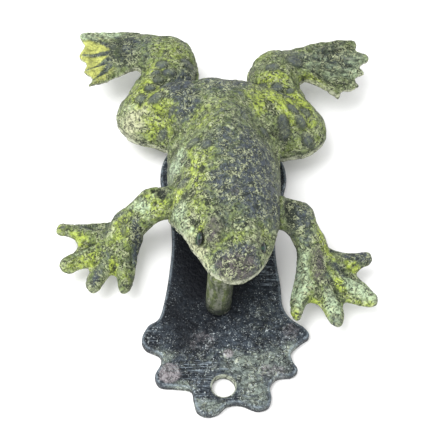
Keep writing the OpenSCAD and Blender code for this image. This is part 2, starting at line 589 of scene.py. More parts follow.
@dataclass
class Wiring:
    """Places nodes in one shader tree and joins them.

    Args:
        tree: The material's or group's node tree.
    """

    tree: bpy.types.NodeTree

    def node(self, kind: str, **settings: object) -> bpy.types.Node:
        """A new node.

        Args:
            kind: Its type.
            settings: Its properties, by name.

        Returns:
            The node.
        """
        made = self.tree.nodes.new(kind)
        for key, value in settings.items():
            setattr(made, key, value)
        return made

    def put(self, socket: Socket, value: object) -> None:
        """Joins an input to an output, or sets its value.

        Args:
            socket: The input.
            value: An output, or a plain value.
        """
        if isinstance(value, bpy.types.NodeSocket):
            self.tree.links.new(value, socket)
        else:
            socket.default_value = value

    def math(self, operation: str, a: object, b: object = 0.0) -> Socket:
        """Result of a Math node.

        Args:
            operation: What it does.
            a: First value.
            b: Second value, where it takes one.

        Returns:
            The result.
        """
        made = self.node("ShaderNodeMath", operation=operation)
        self.put(made.inputs[0], a)
        self.put(made.inputs[1], b)
        return made.outputs[0]

    def spread(self, value: object, low: float, high: float,
               to_low: float = 0.0, to_high: float = 1.0) -> Socket:
        """Smooth step of a value from one range to another.

        Args:
            value: The value.
            low: Where the step starts.
            high: Where it ends.
            to_low: Result at its start.
            to_high: Result at its end.

        Returns:
            The result.
        """
        made = self.node("ShaderNodeMapRange", interpolation_type="SMOOTHSTEP")
        for key, v in zip(("Value", "From Min", "From Max", "To Min", "To Max"),
                          (value, low, high, to_low, to_high)):
            self.put(made.inputs[key], v)
        return made.outputs[0]

    def times(self, a: object, b: object) -> Socket:
        """Product of two values."""
        return self.math("MULTIPLY", a, b)

    def blend(self, share: object, a: object, b: object) -> Socket:
        """Colour a turned towards colour b.

        Args:
            share: How far, from 0 to 1.
            a: First colour.
            b: Second colour.

        Returns:
            a * (1 - share) + b * share.
        """
        made = self.node("ShaderNodeMix", data_type="RGBA")
        self.put(made.inputs[0], share)
        self.put(made.inputs[6], a)
        self.put(made.inputs[7], b)
        return made.outputs[2]

    def mask(self, name: str) -> Socket:
        """A value that the mesh holds at each vertex."""
        return self.node("ShaderNodeAttribute", attribute_name=name).outputs["Fac"]

    def noise(self, where: Socket, size: float, detail: float = 3.0, rough: float = 0.55,
              warp: float = 0.0) -> Socket:
        """Cloudy noise.

        Args:
            where: Coordinates.
            size: Size of its features, in millimetres.
            detail: How many finer layers it has.
            rough: How strong they are.
            warp: How far it is twisted.

        Returns:
            Values about 0.5.
        """
        made = self.node("ShaderNodeTexNoise")
        for key, v in zip(("Vector", "Scale", "Detail", "Roughness", "Distortion"),
                          (where, 1 / (size * MM), detail, rough, warp)):
            self.put(made.inputs[key], v)
        return made.outputs["Fac"]

    def grains(self, where: Socket, size: float) -> Socket:
        """Distance to the nearest of many scattered grains.

        Args:
            where: Coordinates.
            size: Spacing of the grains, in millimetres.

        Returns:
            0 on a grain, and about 1 between them.
        """
        made = self.node("ShaderNodeTexVoronoi", feature="F1")
        self.put(made.inputs["Vector"], where)
        self.put(made.inputs["Scale"], 1 / (size * MM))
        return made.outputs["Distance"]

    def stretched(self, where: Socket, x: float, y: float, z: float,
                  turn: float = 0.0) -> Socket:
        """Coordinates scaled and turned.

        Args:
            where: Coordinates.
            x: Scale across.
            y: Scale up.
            z: Scale out of the door.
            turn: Turn about Z, in degrees.

        Returns:
            The new coordinates.
        """
        made = self.node("ShaderNodeMapping")
        self.put(made.inputs["Vector"], where)
        self.put(made.inputs["Rotation"], (0.0, 0.0, math.radians(turn)))
        self.put(made.inputs["Scale"], (x, y, z))
        return made.outputs[0]

    def bump(self, shader: bpy.types.Node, height: Socket, depth: float, strength: float) -> None:
        """Feeds a height to a shader's normal.

        Args:
            shader: The shader.
            height: The height, from about 0 to 1.
            depth: Its size, in metres.
            strength: Share of it that shows.
        """
        made = self.node("ShaderNodeBump")
        self.put(made.inputs["Height"], height)
        self.put(made.inputs["Distance"], depth)
        self.put(made.inputs["Strength"], strength)
        self.put(shader.inputs["Normal"], made.outputs[0])


def build_group(name: str, inputs: dict[str, tuple[str, object]], outputs: dict[str, str],
                fill: Callable[[Wiring, dict[str, Socket]], dict[str, Socket]]) \
        -> bpy.types.NodeTree:
    """Makes a shader node group with named inputs and outputs.

    Args:
        name: The group's name.
        inputs: Socket type and default value of each input, by name.
        outputs: Socket type of each output, by name.
        fill: Builds the inside and gives each output's source.

    Returns:
        The group's tree.
    """
    tree = bpy.data.node_groups.new(name, "ShaderNodeTree")
    for key, (kind, value) in inputs.items():
        made = tree.interface.new_socket(key, in_out="INPUT", socket_type=kind)
        if kind != "NodeSocketVector":
            made.default_value = value
    for key, kind in outputs.items():
        tree.interface.new_socket(key, in_out="OUTPUT", socket_type=kind)
    wiring = Wiring(tree)
    entry, leave = wiring.node("NodeGroupInput"), wiring.node("NodeGroupOutput")
    made = fill(wiring, {key: entry.outputs[key] for key in inputs})
    for key in outputs:
        wiring.put(leave.inputs[key], made[key])
    return tree


def cast_grain(w: Wiring, given: dict[str, Socket]) -> dict[str, Socket]:
    """Sand-cast skin: round grains over fine sand, cut by thin curly marks.

    Marks is where a cloudy noise passes its middle value, and Curls, which stand proud and
    are painted pale as highlights, where another does. Height is coarse grains plus a third
    of fine ones plus sand, less the marks, plus the curls. Pits is the marks and the places
    where coarse grains meet. Specks picks out the tops of a few fine grains, which are
    painted pale as glints, and Tone is a close cloud for light and dark.

    Args:
        w: The group's wiring.
        given: Its inputs, by name.

    Returns:
        Its outputs, by name.
    """
    where = given["Vector"]
    coarse = w.grains(where, 1.4)
    fine = w.grains(where, 0.55)
    sand = w.noise(where, 0.6, 3.0, 0.65)
    cloud = w.noise(where, 2.6, 3.0, 0.6)
    curl = w.math("ABSOLUTE", w.math("SUBTRACT", w.noise(where, 2.3, 1.6, 0.5, 1.2), 0.5))
    marks = w.times(w.spread(curl, 0.075, 0.02), w.spread(cloud, 0.38, 0.56))
    twist = w.math("ABSOLUTE", w.math("SUBTRACT", w.noise(where, 2.0, 1.6, 0.5, 1.5), 0.45))
    curls = w.times(w.spread(twist, 0.06, 0.015), w.spread(cloud, 0.44, 0.58))
    height = w.math("ADD", w.times(w.math("SUBTRACT", 1.0, coarse), 0.9),
                    w.times(w.math("SUBTRACT", 1.0, fine), 0.35))
    height = w.math("ADD", height, w.times(sand, 0.8))
    height = w.math("ADD", height, w.times(cloud, 0.7))
    height = w.math("SUBTRACT", height, w.times(marks, 0.9))
    height = w.math("ADD", height, w.times(curls, 0.6))
    seams = w.spread(w.math("ADD", coarse, w.times(sand, 0.6)), 0.85, 1.2)
    pits = w.math("MAXIMUM", marks, w.times(seams, 0.7))
    tops = w.math("SUBTRACT", w.times(sand, 1.2), w.times(fine, 0.6))
    thin = w.math("ADD", tops, w.times(w.math("SUBTRACT", cloud, 0.5), 0.5))
    specks = w.spread(thin, 0.47, 0.59)
    tone = w.math("ADD", w.times(w.noise(where, 1.4, 4.0, 0.72, 1.0), 0.75),
                  w.times(cloud, 0.25))
    return {"Height": height, "Pits": pits, "Curls": curls, "Specks": specks, "Tone": tone}


def mottle(w: Wiring, given: dict[str, Socket]) -> dict[str, Socket]:
    """Ragged blotches: cloudy noise at two sizes, raised by Amount and cut softly.

    Args:
        w: The group's wiring.
        given: Its inputs, by name.

    Returns:
        Its outputs, by name.
    """
    where = given["Vector"]
    broad = w.noise(where, 4.0, 4.0, 0.62, 0.4)
    close = w.noise(where, 1.2, 4.0, 0.7, 0.5)
    mixed = w.math("ADD", w.times(broad, 0.95), w.times(close, 0.95))
    raised = w.math("ADD", w.math("SUBTRACT", mixed, 0.95), w.times(given["Amount"], 0.85))
    return {"Share": w.spread(raised, 0.18, 0.72)}


@dataclass
class SharedEffects:
    """The node groups that several finishes use, each made once."""

    grain: bpy.types.NodeTree = field(init=False)
    blotch: bpy.types.NodeTree = field(init=False)

    def __post_init__(self) -> None:
        """Builds the groups."""
        vector, number = "NodeSocketVector", "NodeSocketFloat"
        self.grain = build_group("cast_grain", {"Vector": (vector, None)},
                                 {"Height": number, "Pits": number, "Curls": number,
                                  "Specks": number, "Tone": number},
                                 cast_grain)
        self.blotch = build_group("mottle", {"Vector": (vector, None), "Amount": (number, 0.0)},
                                  {"Share": number}, mottle)

    def grained(self, w: Wiring, where: Socket) -> bpy.types.Node:
        """A cast-grain group placed in a material.

        Args:
            w: The material's wiring.
            where: Coordinates.

        Returns:
            The group node.
        """
        made = w.node("ShaderNodeGroup", node_tree=self.grain)
        w.put(made.inputs["Vector"], where)
        return made

    def blotched(self, w: Wiring, where: Socket, amount: object, shift: float) -> Socket:
        """A blotch mask placed in a material.

        Args:
            w: The material's wiring.
            where: Coordinates.
            amount: How much of the surface it covers, from 0 to 1.
            shift: How far its pattern is moved, in metres.

        Returns:
            The mask.
        """
        moved = w.node("ShaderNodeMapping")
        w.put(moved.inputs["Vector"], where)
        w.put(moved.inputs["Location"], (shift, 0.37 * shift, 0.71 * shift))
        made = w.node("ShaderNodeGroup", node_tree=self.blotch)
        w.put(made.inputs["Vector"], moved.outputs[0])
        w.put(made.inputs["Amount"], amount)
        return made.outputs["Share"]


class Finish:
    """A procedural finish; each kind wires its own colour, roughness and bump."""

    def material(self, name: str, effects: SharedEffects) -> bpy.types.Material:
        """Makes a material and dresses it.

        Args:
            name: The material's name.
            effects: The shared node groups.

        Returns:
            The material.
        """
        made = bpy.data.materials.new(name)
        made.use_nodes = True
        w = Wiring(made.node_tree)
        where = w.node("ShaderNodeTexCoord").outputs["Object"]
        self.dress(w, made.node_tree.nodes["Principled BSDF"], where, effects)
        return made

    def dress(self, w: Wiring, shader: bpy.types.Node, where: Socket,
              effects: SharedEffects) -> None:
        """Wires the finish.

        Args:
            w: The material's wiring.
            shader: Its Principled shader.
            where: Object coordinates.
            effects: The shared node groups.
        """
        raise NotImplementedError


@dataclass(frozen=True)
class Verdigris(Finish):
    """Green and slate patina on cast bronze, led by masks on the mesh, with painted shade and painted
    highlights.

    Args:
        olive: Colour between the stronger tones.
        sage: Greyer cloud in it.
        lime: Yellow-green of hollows.
        slate: Dark grey of rubbed high places.
        mint: Pale green bloom.
        bone: Pale yellow-grey where it is rubbed.
        plum: Brown-grey of the brows and snout.
        wart: Grey of the round spots.
        web: Yellow of the thin web between the toes.
        rim: Pale of the low upright edge, rubbed metal with painted light on it.
        pale: Fine light specks of random tone, and the colour of the painted highlights on raised
            places and curls and of the painted glints on grain tops.
        pit: Dark between the grains, and the colour of the painted shade in hollows and creases, on
            sides and along the outline.
        depth: Height of the grain in the bump, in metres.
    """

    olive: str = "6f7f42"
    sage: str = "7b8764"
    lime: str = "a1b24a"
    slate: str = "444c55"
    mint: str = "b0c4a0"
    bone: str = "b9bb98"
    plum: str = "534e4e"
    wart: str = "50575b"
    web: str = "b9be66"
    rim: str = "bfc2aa"
    pale: str = "dae2b4"
    pit: str = "232a22"
    depth: float = 0.00042

    def dress(self, w: Wiring, shader: bpy.types.Node, where: Socket,
              effects: SharedEffects) -> None:
        """Olive ground, blotches led by masks, painted highlights on raised places and painted shade
        in hollows, then warts, painted crease shade, painted shade on sides, the upright edge made
        pale, pits, marks, painted highlight curls, painted glint specks and a painted dark outline.

        Args:
            w: The material's wiring.
            shader: Its Principled shader.
            where: Object coordinates.
            effects: The shared node groups.
        """
        grain = effects.grained(w, where)
        shade = w.noise(where, 3.2, 4.0, 0.7, 0.3)
        tone = grain.outputs["Tone"]
        colour = w.blend(w.spread(shade, 0.36, 0.66), paint(self.olive), paint(self.sage))
        for tint, mask, shift in ((self.lime, "lime", 0.013), (self.mint, "mint", 0.029),
                                  (self.bone, "bone", 0.071), (self.slate, "slate", 0.041),
                                  (self.plum, "plum", 0.057), (self.web, "web", 0.083)):
            share = effects.blotched(w, where, w.mask(mask), shift)
            colour = w.blend(share, colour, paint(tint))
        relief = w.mask("relief")
        open_skin = w.math("SUBTRACT", 1.0, w.times(w.mask("web"), 0.6))
        # painted highlight on raised places and painted shade in hollows, from relief; the tone rows
        # are random pale and dark
        for source, low, high, top, tint in (
                (relief, 0.3, 0.95, 0.12, self.pale), (tone, 0.53, 0.67, 0.5, self.pale),
                (tone, 0.49, 0.38, 0.9, self.pit), (relief, -0.1, -0.8, 0.75, self.pit)):
            share = w.times(w.spread(source, low, high, 0.0, top), open_skin)
            colour = w.blend(share, colour, paint(tint))
        worn = w.spread(tone, 0.38, 0.62, 0.95, 0.5)
        colour = w.blend(w.times(w.mask("wart"), worn), colour, paint(self.wart))
        # painted shade in the grooves round the warts, in the dents, along the crease over the upright
        # edge and between the right toes
        colour = w.blend(w.times(w.mask("hollow_shade"), 0.6), colour, paint(self.pit))
        # painted shade: darker where the surface turns sideways or down, by its normal
        colour = w.blend(w.times(w.mask("side"), 0.28), colour, paint(self.pit))
        # painted light with rubbed metal: the low upright edge made pale
        colour = w.blend(w.times(w.mask("rim"), 0.75), colour, paint(self.rim))
        spots = w.math("SUBTRACT", 1.0, w.times(w.mask("wart"), 0.5))
        open_skin = w.times(open_skin, spots)
        # dark pits, then Curls painted pale as highlights and Specks painted pale as glints
        for output, amount, tint in (("Pits", 0.95, self.pit), ("Curls", 0.5, self.pale),
                                     ("Specks", 0.4, self.pale)):
            share = w.times(w.times(grain.outputs[output], amount), open_skin)
            colour = w.blend(share, colour, paint(tint))
        # painted shade: a dark outline where the surface is seen at a grazing angle
        facing = w.node("ShaderNodeLayerWeight").outputs["Facing"]
        colour = w.blend(w.spread(facing, 0.68, 0.95, 0.0, 0.65), colour, paint(self.pit))
        w.put(shader.inputs["Base Color"], colour)
        w.put(shader.inputs["Roughness"], w.spread(shade, 0.3, 0.7, 0.66, 0.46))
        shader.inputs["Metallic"].default_value = 0.1
        shader.inputs["Specular IOR Level"].default_value = 0.3
        w.bump(shader, grain.outputs["Height"], self.depth, 0.9)


@dataclass(frozen=True)
class PlateSlate(Finish):
    """Dark slate patina on the cast plate, with pale specks, file marks, painted glints, and painted
    shade, highlights and light.

    Args:
        dark: Main colour.
        blue: Cooler cloud.
        green: Grey-green bloom.
        rosy: Pinkish-grey bloom.
        shade_black: Black of the painted shade under the frog and on the side wall, also of the
            darkest tone and the pits.
        grit_and_glint: Pale specks, of random tone and of painted glints on grain tops.
        scratch: Bare metal in the file marks, and the painted highlight along the edge.
        cream: Painted highlight curls in the bloom, and painted light on the wall of the lower screw
            hole.
        depth: Height of the grain in the bump, in metres.
    """

    dark: str = "1c2128"
    blue: str = "3f4851"
    green: str = "838e84"
    rosy: str = "938e91"
    shade_black: str = "0c0f15"
    grit_and_glint: str = "c9d1d2"
    scratch: str = "93a0aa"
    cream: str = "c3c9b2"
    depth: float = 0.00024

    def dress(self, w: Wiring, shader: bpy.types.Node, where: Socket,
              effects: SharedEffects) -> None:
        """Slate ground, blooms led by masks, then painted shade under the frog, file marks, painted
        shade on the side wall, a painted highlight along the edge, pale specks and painted glints,
        painted highlight curls, painted light in the lower bore, and pits.

        Args:
            w: The material's wiring.
            shader: Its Principled shader.
            where: Object coordinates.
            effects: The shared node groups.
        """
        grain = effects.grained(w, where)
        tone = grain.outputs["Tone"]
        cloud = w.noise(where, 7.0, 5.0, 0.6, 0.5)
        colour = w.blend(w.spread(cloud, 0.35, 0.68), paint(self.dark), paint(self.blue))
        for tint, mask, shift in ((self.green, "green", 0.017), (self.rosy, "rosy", 0.031)):
            share = effects.blotched(w, where, w.mask(mask), shift)
            colour = w.blend(w.times(share, 0.85), colour, paint(tint))
        lines = w.noise(w.stretched(where, 0.06, 1.0, 0.3, 4.0), 0.5, 2.0, 0.6)
        marks = w.times(w.spread(lines, 0.5, 0.66), w.mask("filed"))
        # painted shade under the frog
        shade_black = w.mask("shade_black")
        open_skin = w.math("SUBTRACT", 1.0, w.times(shade_black, 0.85))
        light = w.times(w.spread(tone, 0.53, 0.70, 0.0, 0.52), open_skin)
        colour = w.blend(light, colour, paint(self.grit_and_glint))
        colour = w.blend(w.spread(tone, 0.49, 0.36, 0.0, 0.85), colour, paint(self.shade_black))
        colour = w.blend(w.times(shade_black, 0.8), colour, paint(self.shade_black))
        colour = w.blend(w.times(marks, 0.75), colour, paint(self.scratch))
        # painted shade on the plate's side wall
        colour = w.blend(w.times(w.mask("wall"), 0.55), colour, paint(self.shade_black))
        # painted highlight along the top edge of the outline
        colour = w.blend(w.times(w.mask("edge"), 0.5), colour, paint(self.scratch))
        # painted glints on the tops of fine grains
        grit_and_glint = w.times(grain.outputs["Specks"], w.spread(cloud, 0.2, 0.7, 0.5, 0.9))
        colour = w.blend(w.times(grit_and_glint, open_skin), colour, paint(self.grit_and_glint))
        # painted highlights on the raised curls in the bloom
        curls = w.times(grain.outputs["Curls"], w.mask("green"))
        colour = w.blend(w.times(curls, 0.7), colour, paint(self.cream))
        # painted light on the wall of the lower screw hole
        colour = w.blend(w.times(w.mask("bore"), 0.7), colour, paint(self.cream))
        colour = w.blend(w.times(grain.outputs["Pits"], 0.75), colour, paint(self.shade_black))
        w.put(shader.inputs["Base Color"], colour)
        w.put(shader.inputs["Roughness"], w.spread(cloud, 0.3, 0.7, 0.62, 0.44))
        shader.inputs["Metallic"].default_value = 0.2
        shader.inputs["Specular IOR Level"].default_value = 0.2
        height = w.math("SUBTRACT", grain.outputs["Height"], w.times(marks, 0.6))
        w.bump(shader, height, self.depth, 0.85)


@dataclass(frozen=True)
class TurnedMetal(Finish):
    """Smooth rod or plain worked metal, with faint rings, darker clouds, a soft gloss and painted
    shade where a mask asks.

    Args:
        base: Main colour.
        tarnish_and_shade: Darker colour in the clouds.
        bloom: Pale bloom on the rod, and the colour of the painted highlight curls.
        metallic: How metallic it is.
        rough: Its roughness where clean.
        ring: Spacing of the turning rings along Z, in millimetres.
        pit: Dark between the grains.
        shade_black: Dark of the painted shade mask.
        depth: Height of the rings in the bump, in metres.
    """

    base: str
    tarnish_and_shade: str
    bloom: str
    metallic: float
    rough: float
    ring: float = 0.6
    pit: str = "20241f"
    shade_black: str = "1b1f22"
    depth: float = 0.00008

    def dress(self, w: Wiring, shader: bpy.types.Node, where: Socket,
              effects: SharedEffects) -> None:
        """Clouded metal with a streaky bloom, pits, painted shade from a mask and painted highlight
        curls, and fine turned rings.

        Args:
            w: The material's wiring.
            shader: Its Principled shader.
            where: Object coordinates.
            effects: The shared node groups.
        """
        cloud = w.noise(where, 3.5, 4.0, 0.6, 0.4)
        streak = w.noise(w.stretched(where, 1.0, 1.0, 0.25), 1.6, 3.0, 0.6)
        rings = w.noise(w.stretched(where, 0.03, 0.03, 1.0), self.ring, 2.0, 0.6)
        colour = w.blend(w.spread(cloud, 0.36, 0.7), paint(self.base), paint(self.tarnish_and_shade))
        bloom = effects.blotched(w, where, w.spread(streak, 0.4, 0.7), 0.021)
        colour = w.blend(w.times(bloom, 0.7), colour, paint(self.bloom))
        grain = effects.grained(w, where)
        colour = w.blend(w.times(grain.outputs["Pits"], 0.6), colour, paint(self.pit))
        # painted shade from the mask: on the peg, down its +X side, and darker towards its foot
        colour = w.blend(w.times(w.mask("tarnish_and_shade"), 0.85), colour, paint(self.shade_black))
        # painted highlights on the raised curls
        colour = w.blend(w.times(grain.outputs["Curls"], 0.45), colour, paint(self.bloom))
        w.put(shader.inputs["Base Color"], colour)
        shader.inputs["Metallic"].default_value = self.metallic
        shader.inputs["Specular IOR Level"].default_value = 0.1
        w.put(shader.inputs["Roughness"],
              w.spread(cloud, 0.3, 0.75, self.rough, self.rough + 0.22))
        height = w.math("ADD", rings, w.times(w.noise(where, 0.6, 3.0), 0.7))
        w.bump(shader, height, self.depth, 0.6)


@dataclass(frozen=True)
class PolishedBead(Finish):
    """Glossy black-green bead with a faint cloudy depth and fine scuffs.

    Args:
        deep: Colour of the middle.
        green: Greener cloud in it.
        depth: Height of the scuffs in the bump, in metres.
    """

    deep: str = "070d0b"
    green: str = "1c3a2c"
    depth: float = 0.00002

    def dress(self, w: Wiring, shader: bpy.types.Node, where: Socket,
              effects: SharedEffects) -> None:
        """Two dark tones in cloudy blotches, with faint scuffs in the gloss.

        Args:
            w: The material's wiring.
            shader: Its Principled shader.
            where: Object coordinates.
            effects: The shared node groups.
        """
        cloud = w.noise(where, 1.8, 3.0, 0.5)
        share = effects.blotched(w, where, w.spread(cloud, 0.3, 0.7), 0.011)
        w.put(shader.inputs["Base Color"], w.blend(share, paint(self.deep), paint(self.green)))
        scuff = w.noise(where, 0.5, 3.0, 0.7)
        w.put(shader.inputs["Roughness"], w.spread(scuff, 0.4, 0.8, 0.06, 0.2))
        shader.inputs["Coat Weight"].default_value = 0.25
        shader.inputs["Specular IOR Level"].default_value = 0.35
        w.bump(shader, scuff, self.depth, 0.4)


# ---------------------------------------------------------------- the casting


@dataclass
class FrogBody:
    """The hollow casting of head, back, rump and hind legs.

    Args:
        step: Spacing of the lattice that its skin is drawn on.
        wall: Thickness of the casting.
        rim: Height of its lower edge above the door.
        chin: Height of the jaw's lower edge at the snout.
        foot: Height of the underside of the feet.
        band: Height of the upright edge that runs round its outline.
        seam: Width of the round where two parts of a leg meet.
        hip: Width of the round where the thigh leaves the back.
        bank: Steepest rise of a leg from its edge.
        trunk_outline: Plan of head and back.
        leg_left_outline: Plan of the left hind leg and its foot.
        leg_right_outline: Plan of the right one.
        back_line: Height of the back at places along Y.
        loins: Greatest half width of the arch at places along Y.
        pelvis: Stations of the ridge that joins the thighs.
        leg_left: Stations from the left hip to the ankle.
        leg_right: Stations from the right hip to the ankle.
        instep_left: Stations along the left foot.
        instep_right: Stations along the right foot.
        toes_left: Tip of each toe of the left foot.
        toes_right: The same of the right foot.
        heel_left: Where the left toes fan out from.
        heel_right: Where the right toes fan out from.
        warts: Round spots.
        dents: Hollows.
        brows: Raised ovals over the eyes.
        lids: Rings round the eyes.
        slate: Dark blue-grey patches.
        lime: Yellow-green patches.
        mint: Pale green patches.
        bone: Pale yellow-grey patches.
        plum: Brown patches.
    """

    step: float = 0.5
    wall: float = 3.0
    rim: float = 9.0
    chin: float = 25.0
    foot: float = 12.8
    band: float = 2.4
    seam: float = 2.2
    hip: float = 11.0
    bank: float = 1.3

    trunk_outline: Sequence[Point2] = (
        (1.6, -14.3), (-2.2, -13.1), (-4.4, -11.8), (-6.2, -9.8), (-9, -5.6), (-11.8, -1.4),
        (-13.8, 3.4), (-15.8, 6.4), (-17.6, 9.4), (-18.8, 14), (-19.2, 20), (-19.4, 28),
        (-19.6, 38), (-19.4, 46), (-17, 55), (-14, 62), (-11, 67), (-9.4, 69.6), (-7, 71.6),
        (-3.6, 74), (1, 74.6), (4.6, 74.3), (7, 72.8), (10, 68.5), (13.5, 61), (17, 53),
        (18.6, 45), (18.9, 36), (18.9, 28), (18.8, 18), (17.2, 9.4), (16.2, 5.6), (14.6, -1.4),
        (13, -5.2), (11.1, -8.7), (8.6, -11.3), (5.8, -13.3))
    leg_left_outline: Sequence[Point2] = (
        (-6, 50), (-14, 45), (-20.5, 47.3), (-24, 48.9), (-28, 49.6), (-32, 51.2),
        (-35.4, 54.2), (-37.4, 57.6), (-38, 61), (-36.4, 66), (-33.6, 70.4), (-31, 74.6),
        (-29.9, 77.6), (-30.2, 79.6), (-32.2, 80), (-35.5, 78.4), (-39.5, 75.6), (-43.5, 73.6),
        (-48.2, 72.4), (-46.8, 75.2), (-50.2, 78.2), (-49.4, 81.8), (-52.2, 85.2), (-50.6, 90),
        (-52.6, 94.6), (-50.6, 96.8), (-44, 97.3), (-34, 97.5), (-27, 97.3), (-21, 96.8),
        (-15.8, 94.4), (-12.4, 91), (-10.2, 86.6), (-9.2, 82), (-9.4, 77), (-9.9, 72),
        (-4, 66))
    leg_right_outline: Sequence[Point2] = (
        (6, 50), (14, 43.4), (21, 45), (25, 46), (29, 47.2), (32.6, 49.8), (35.2, 54),
        (35.6, 58.6), (33.6, 63), (30.5, 67.6), (27.9, 71.4), (26.6, 74.6), (26.8, 77.4),
        (28.4, 78.2), (32, 76), (36, 73), (40.2, 70.8), (41.6, 73.2), (45.6, 74),
        (47.6, 76), (46.6, 79), (50, 81.6), (48.6, 84.6), (51.4, 87), (52, 89.6),
        (50.2, 91.2), (47.8, 92), (48, 95.6), (46.2, 97.2), (43.6, 97.2), (39, 96.4),
        (34, 95.6), (28, 94.2), (22, 92), (16, 90.2), (11.8, 87.2), (8.6, 84), (7.8, 79.4),
        (7.2, 74.6), (4, 66))
    back_line: Sequence[Point2] = (
        (-14.4, 26.8), (-12.5, 29.2), (-9, 31), (-4, 32.6), (2, 34.2), (9, 36.6), (17, 38.6),
        (28, 39.2), (38, 39), (46, 37.4), (53, 34.2), (60, 30), (66, 25.6), (70, 21.5),
        (74.6, 15))
    loins: Sequence[Point2] = ((34, 20), (42, 18.6), (50, 16), (58, 13), (66, 11), (74, 8.5))
    pelvis: Sequence[tuple[float, ...]] = ((-15, 55, 13, 15, 16), (14, 53, 13, 14, 15))
    leg_left: Sequence[tuple[float, ...]] = (
        (-8, 59, 15, 12, 13), (-27.5, 59, 11.6, 10.8, 7.6), (-27, 65, 11.6, 10.2, 8.4),
        (-20.5, 77, 11.6, 10, 8.8), (-20, 85.2, 11.8, 10, 7.4))
    leg_right: Sequence[tuple[float, ...]] = (
        (8, 58, 15, 12, 13), (25, 56, 11.6, 10.6, 8), (24.6, 62, 11.6, 10.2, 8.4),
        (18, 75, 11.6, 10, 8.8), (18.8, 81, 11.8, 9.8, 7.4))
    instep_left: Sequence[tuple[float, ...]] = ((-21, 87.4, 12, 10, 6), (-38, 87.4, 13, 9.8, 3))
    instep_right: Sequence[tuple[float, ...]] = ((19, 82, 12, 9.4, 6), (34, 85.4, 12.6, 9.4, 2.8))
    toes_left: Sequence[Point2] = ((-51, 95), (-50.8, 85.2), (-49, 78.4), (-47, 73.6))
    toes_right: Sequence[Point2] = ((46, 95), (50.2, 89), (48.2, 81.8), (45.8, 76), (39.8, 72.2))
    heel_left: Point2 = (-26, 86)
    heel_right: Point2 = (22, 86)
    warts: Sequence[Patch] = (
        Patch(-22.4, 77.4, 2.3, 1.9), Patch(-23.6, 70.6, 1.9, 1.7), Patch(-26.4, 66.8, 1.8, 1.7),
        Patch(-29.4, 62.2, 1.9, 1.8), Patch(-24.1, 58.6, 2.5, 2.4), Patch(-21.1, 64.6, 2.4, 1.9),
        Patch(-21.6, 50, 1.5, 1.2), Patch(-18.6, 52.4, 1.1, 0.8), Patch(-19.6, 74, 2.5, 1.5, 10),
        Patch(-13.6, 80, 2.4, 2.2), Patch(-24.6, 73.6, 1.8, 1.1, 30),
        Patch(17.8, 69, 2.2, 1.9), Patch(20.4, 63, 2.3, 1.9), Patch(22.6, 55.8, 2.2, 1.9),
        Patch(27.2, 58.2, 2.0, 1.9), Patch(19.4, 49.6, 2.3, 2.0), Patch(12.6, 70, 1.9, 1.6),
        Patch(16.4, 78, 2.4, 1.9), Patch(25.4, 52.8, 2.0, 1.8), Patch(22.4, 67.6, 1.4, 1.3),
        Patch(28.4, 49.4, 2.2, 1.5), Patch(-14.4, 20.2, 1.8, 1.6), Patch(-7, 31, 1.8, 1.4),
        Patch(-11.4, 34, 2.2, 1.7), Patch(12.5, 43.5, 1.8, 1.6), Patch(24.6, 83, 3, 2.4))
    dents: Sequence[Patch] = (
        Patch(-11.4, 14.2, 1.2, 1.5), Patch(-13.6, 14.4, 1.0, 1.5), Patch(-9.6, 4, 0.9, 1.2),
        Patch(-11, 5.4, 0.9, 1.1), Patch(-19.4, 17, 1.8, 2.8), Patch(20, 17.6, 1.8, 3.4),
        Patch(18.6, 12.8, 1.2, 1.6), Patch(-13, 27, 1.0, 1.4), Patch(-8.6, 22, 0.9, 1.3),
        Patch(-15.8, 24, 0.9, 1.3), Patch(-6.6, 9.6, 0.8, 1.0), Patch(-14.6, 29.6, 0.8, 1.1),
        Patch(-10.2, 18.4, 0.7, 1.0), Patch(14.6, 54, 1.5, 3.4, 28))
    brows: Sequence[Patch] = (Patch(-4.9, 0.6, 3.7, 5.0, -14), Patch(7.8, -1.4, 3.6, 4.8, 14))
    lids: Sequence[Patch] = (Patch(-8.9, -0.9, 2.1, 3.2, -12), Patch(10.9, -2.5, 2.0, 3.0, 14))
    slate: Sequence[Patch] = (
        Patch(8.5, 22, 9, 19, 0, 1.0), Patch(0, 17, 9, 9, 0, 0.85), Patch(-1, 32, 5, 9, 0, 0.75),
        Patch(14, 12, 6, 9, 0, 0.8), Patch(1, 3, 9, 6, 0, 0.4), Patch(0, 45, 12, 8, 0, 0.5),
        Patch(-34, 88, 8, 9, 0, 0.7), Patch(39, 88, 10, 8, 0, 0.62),
        Patch(-15.6, 66, 5, 12, -12, 1.05), Patch(-14, 55, 5.5, 8, 0, 0.8),
        Patch(28, 53, 8, 7, 0, 0.2),
        Patch(0, 64, 13, 11, 0, 0.7), Patch(25, 85, 9, 6, 0, 0.6), Patch(3.4, -8.6, 7, 5, 0, 1.3),
        Patch(-7, 32, 5, 6, 0, 0.5), Patch(-1, 4, 4, 6, 0, 0.5),
        Patch(19, 48, 3, 4, 20, 0.4), Patch(-20, 90, 10, 6, 0, 0.3), Patch(-34, 63, 3, 6, 0, 0.35))
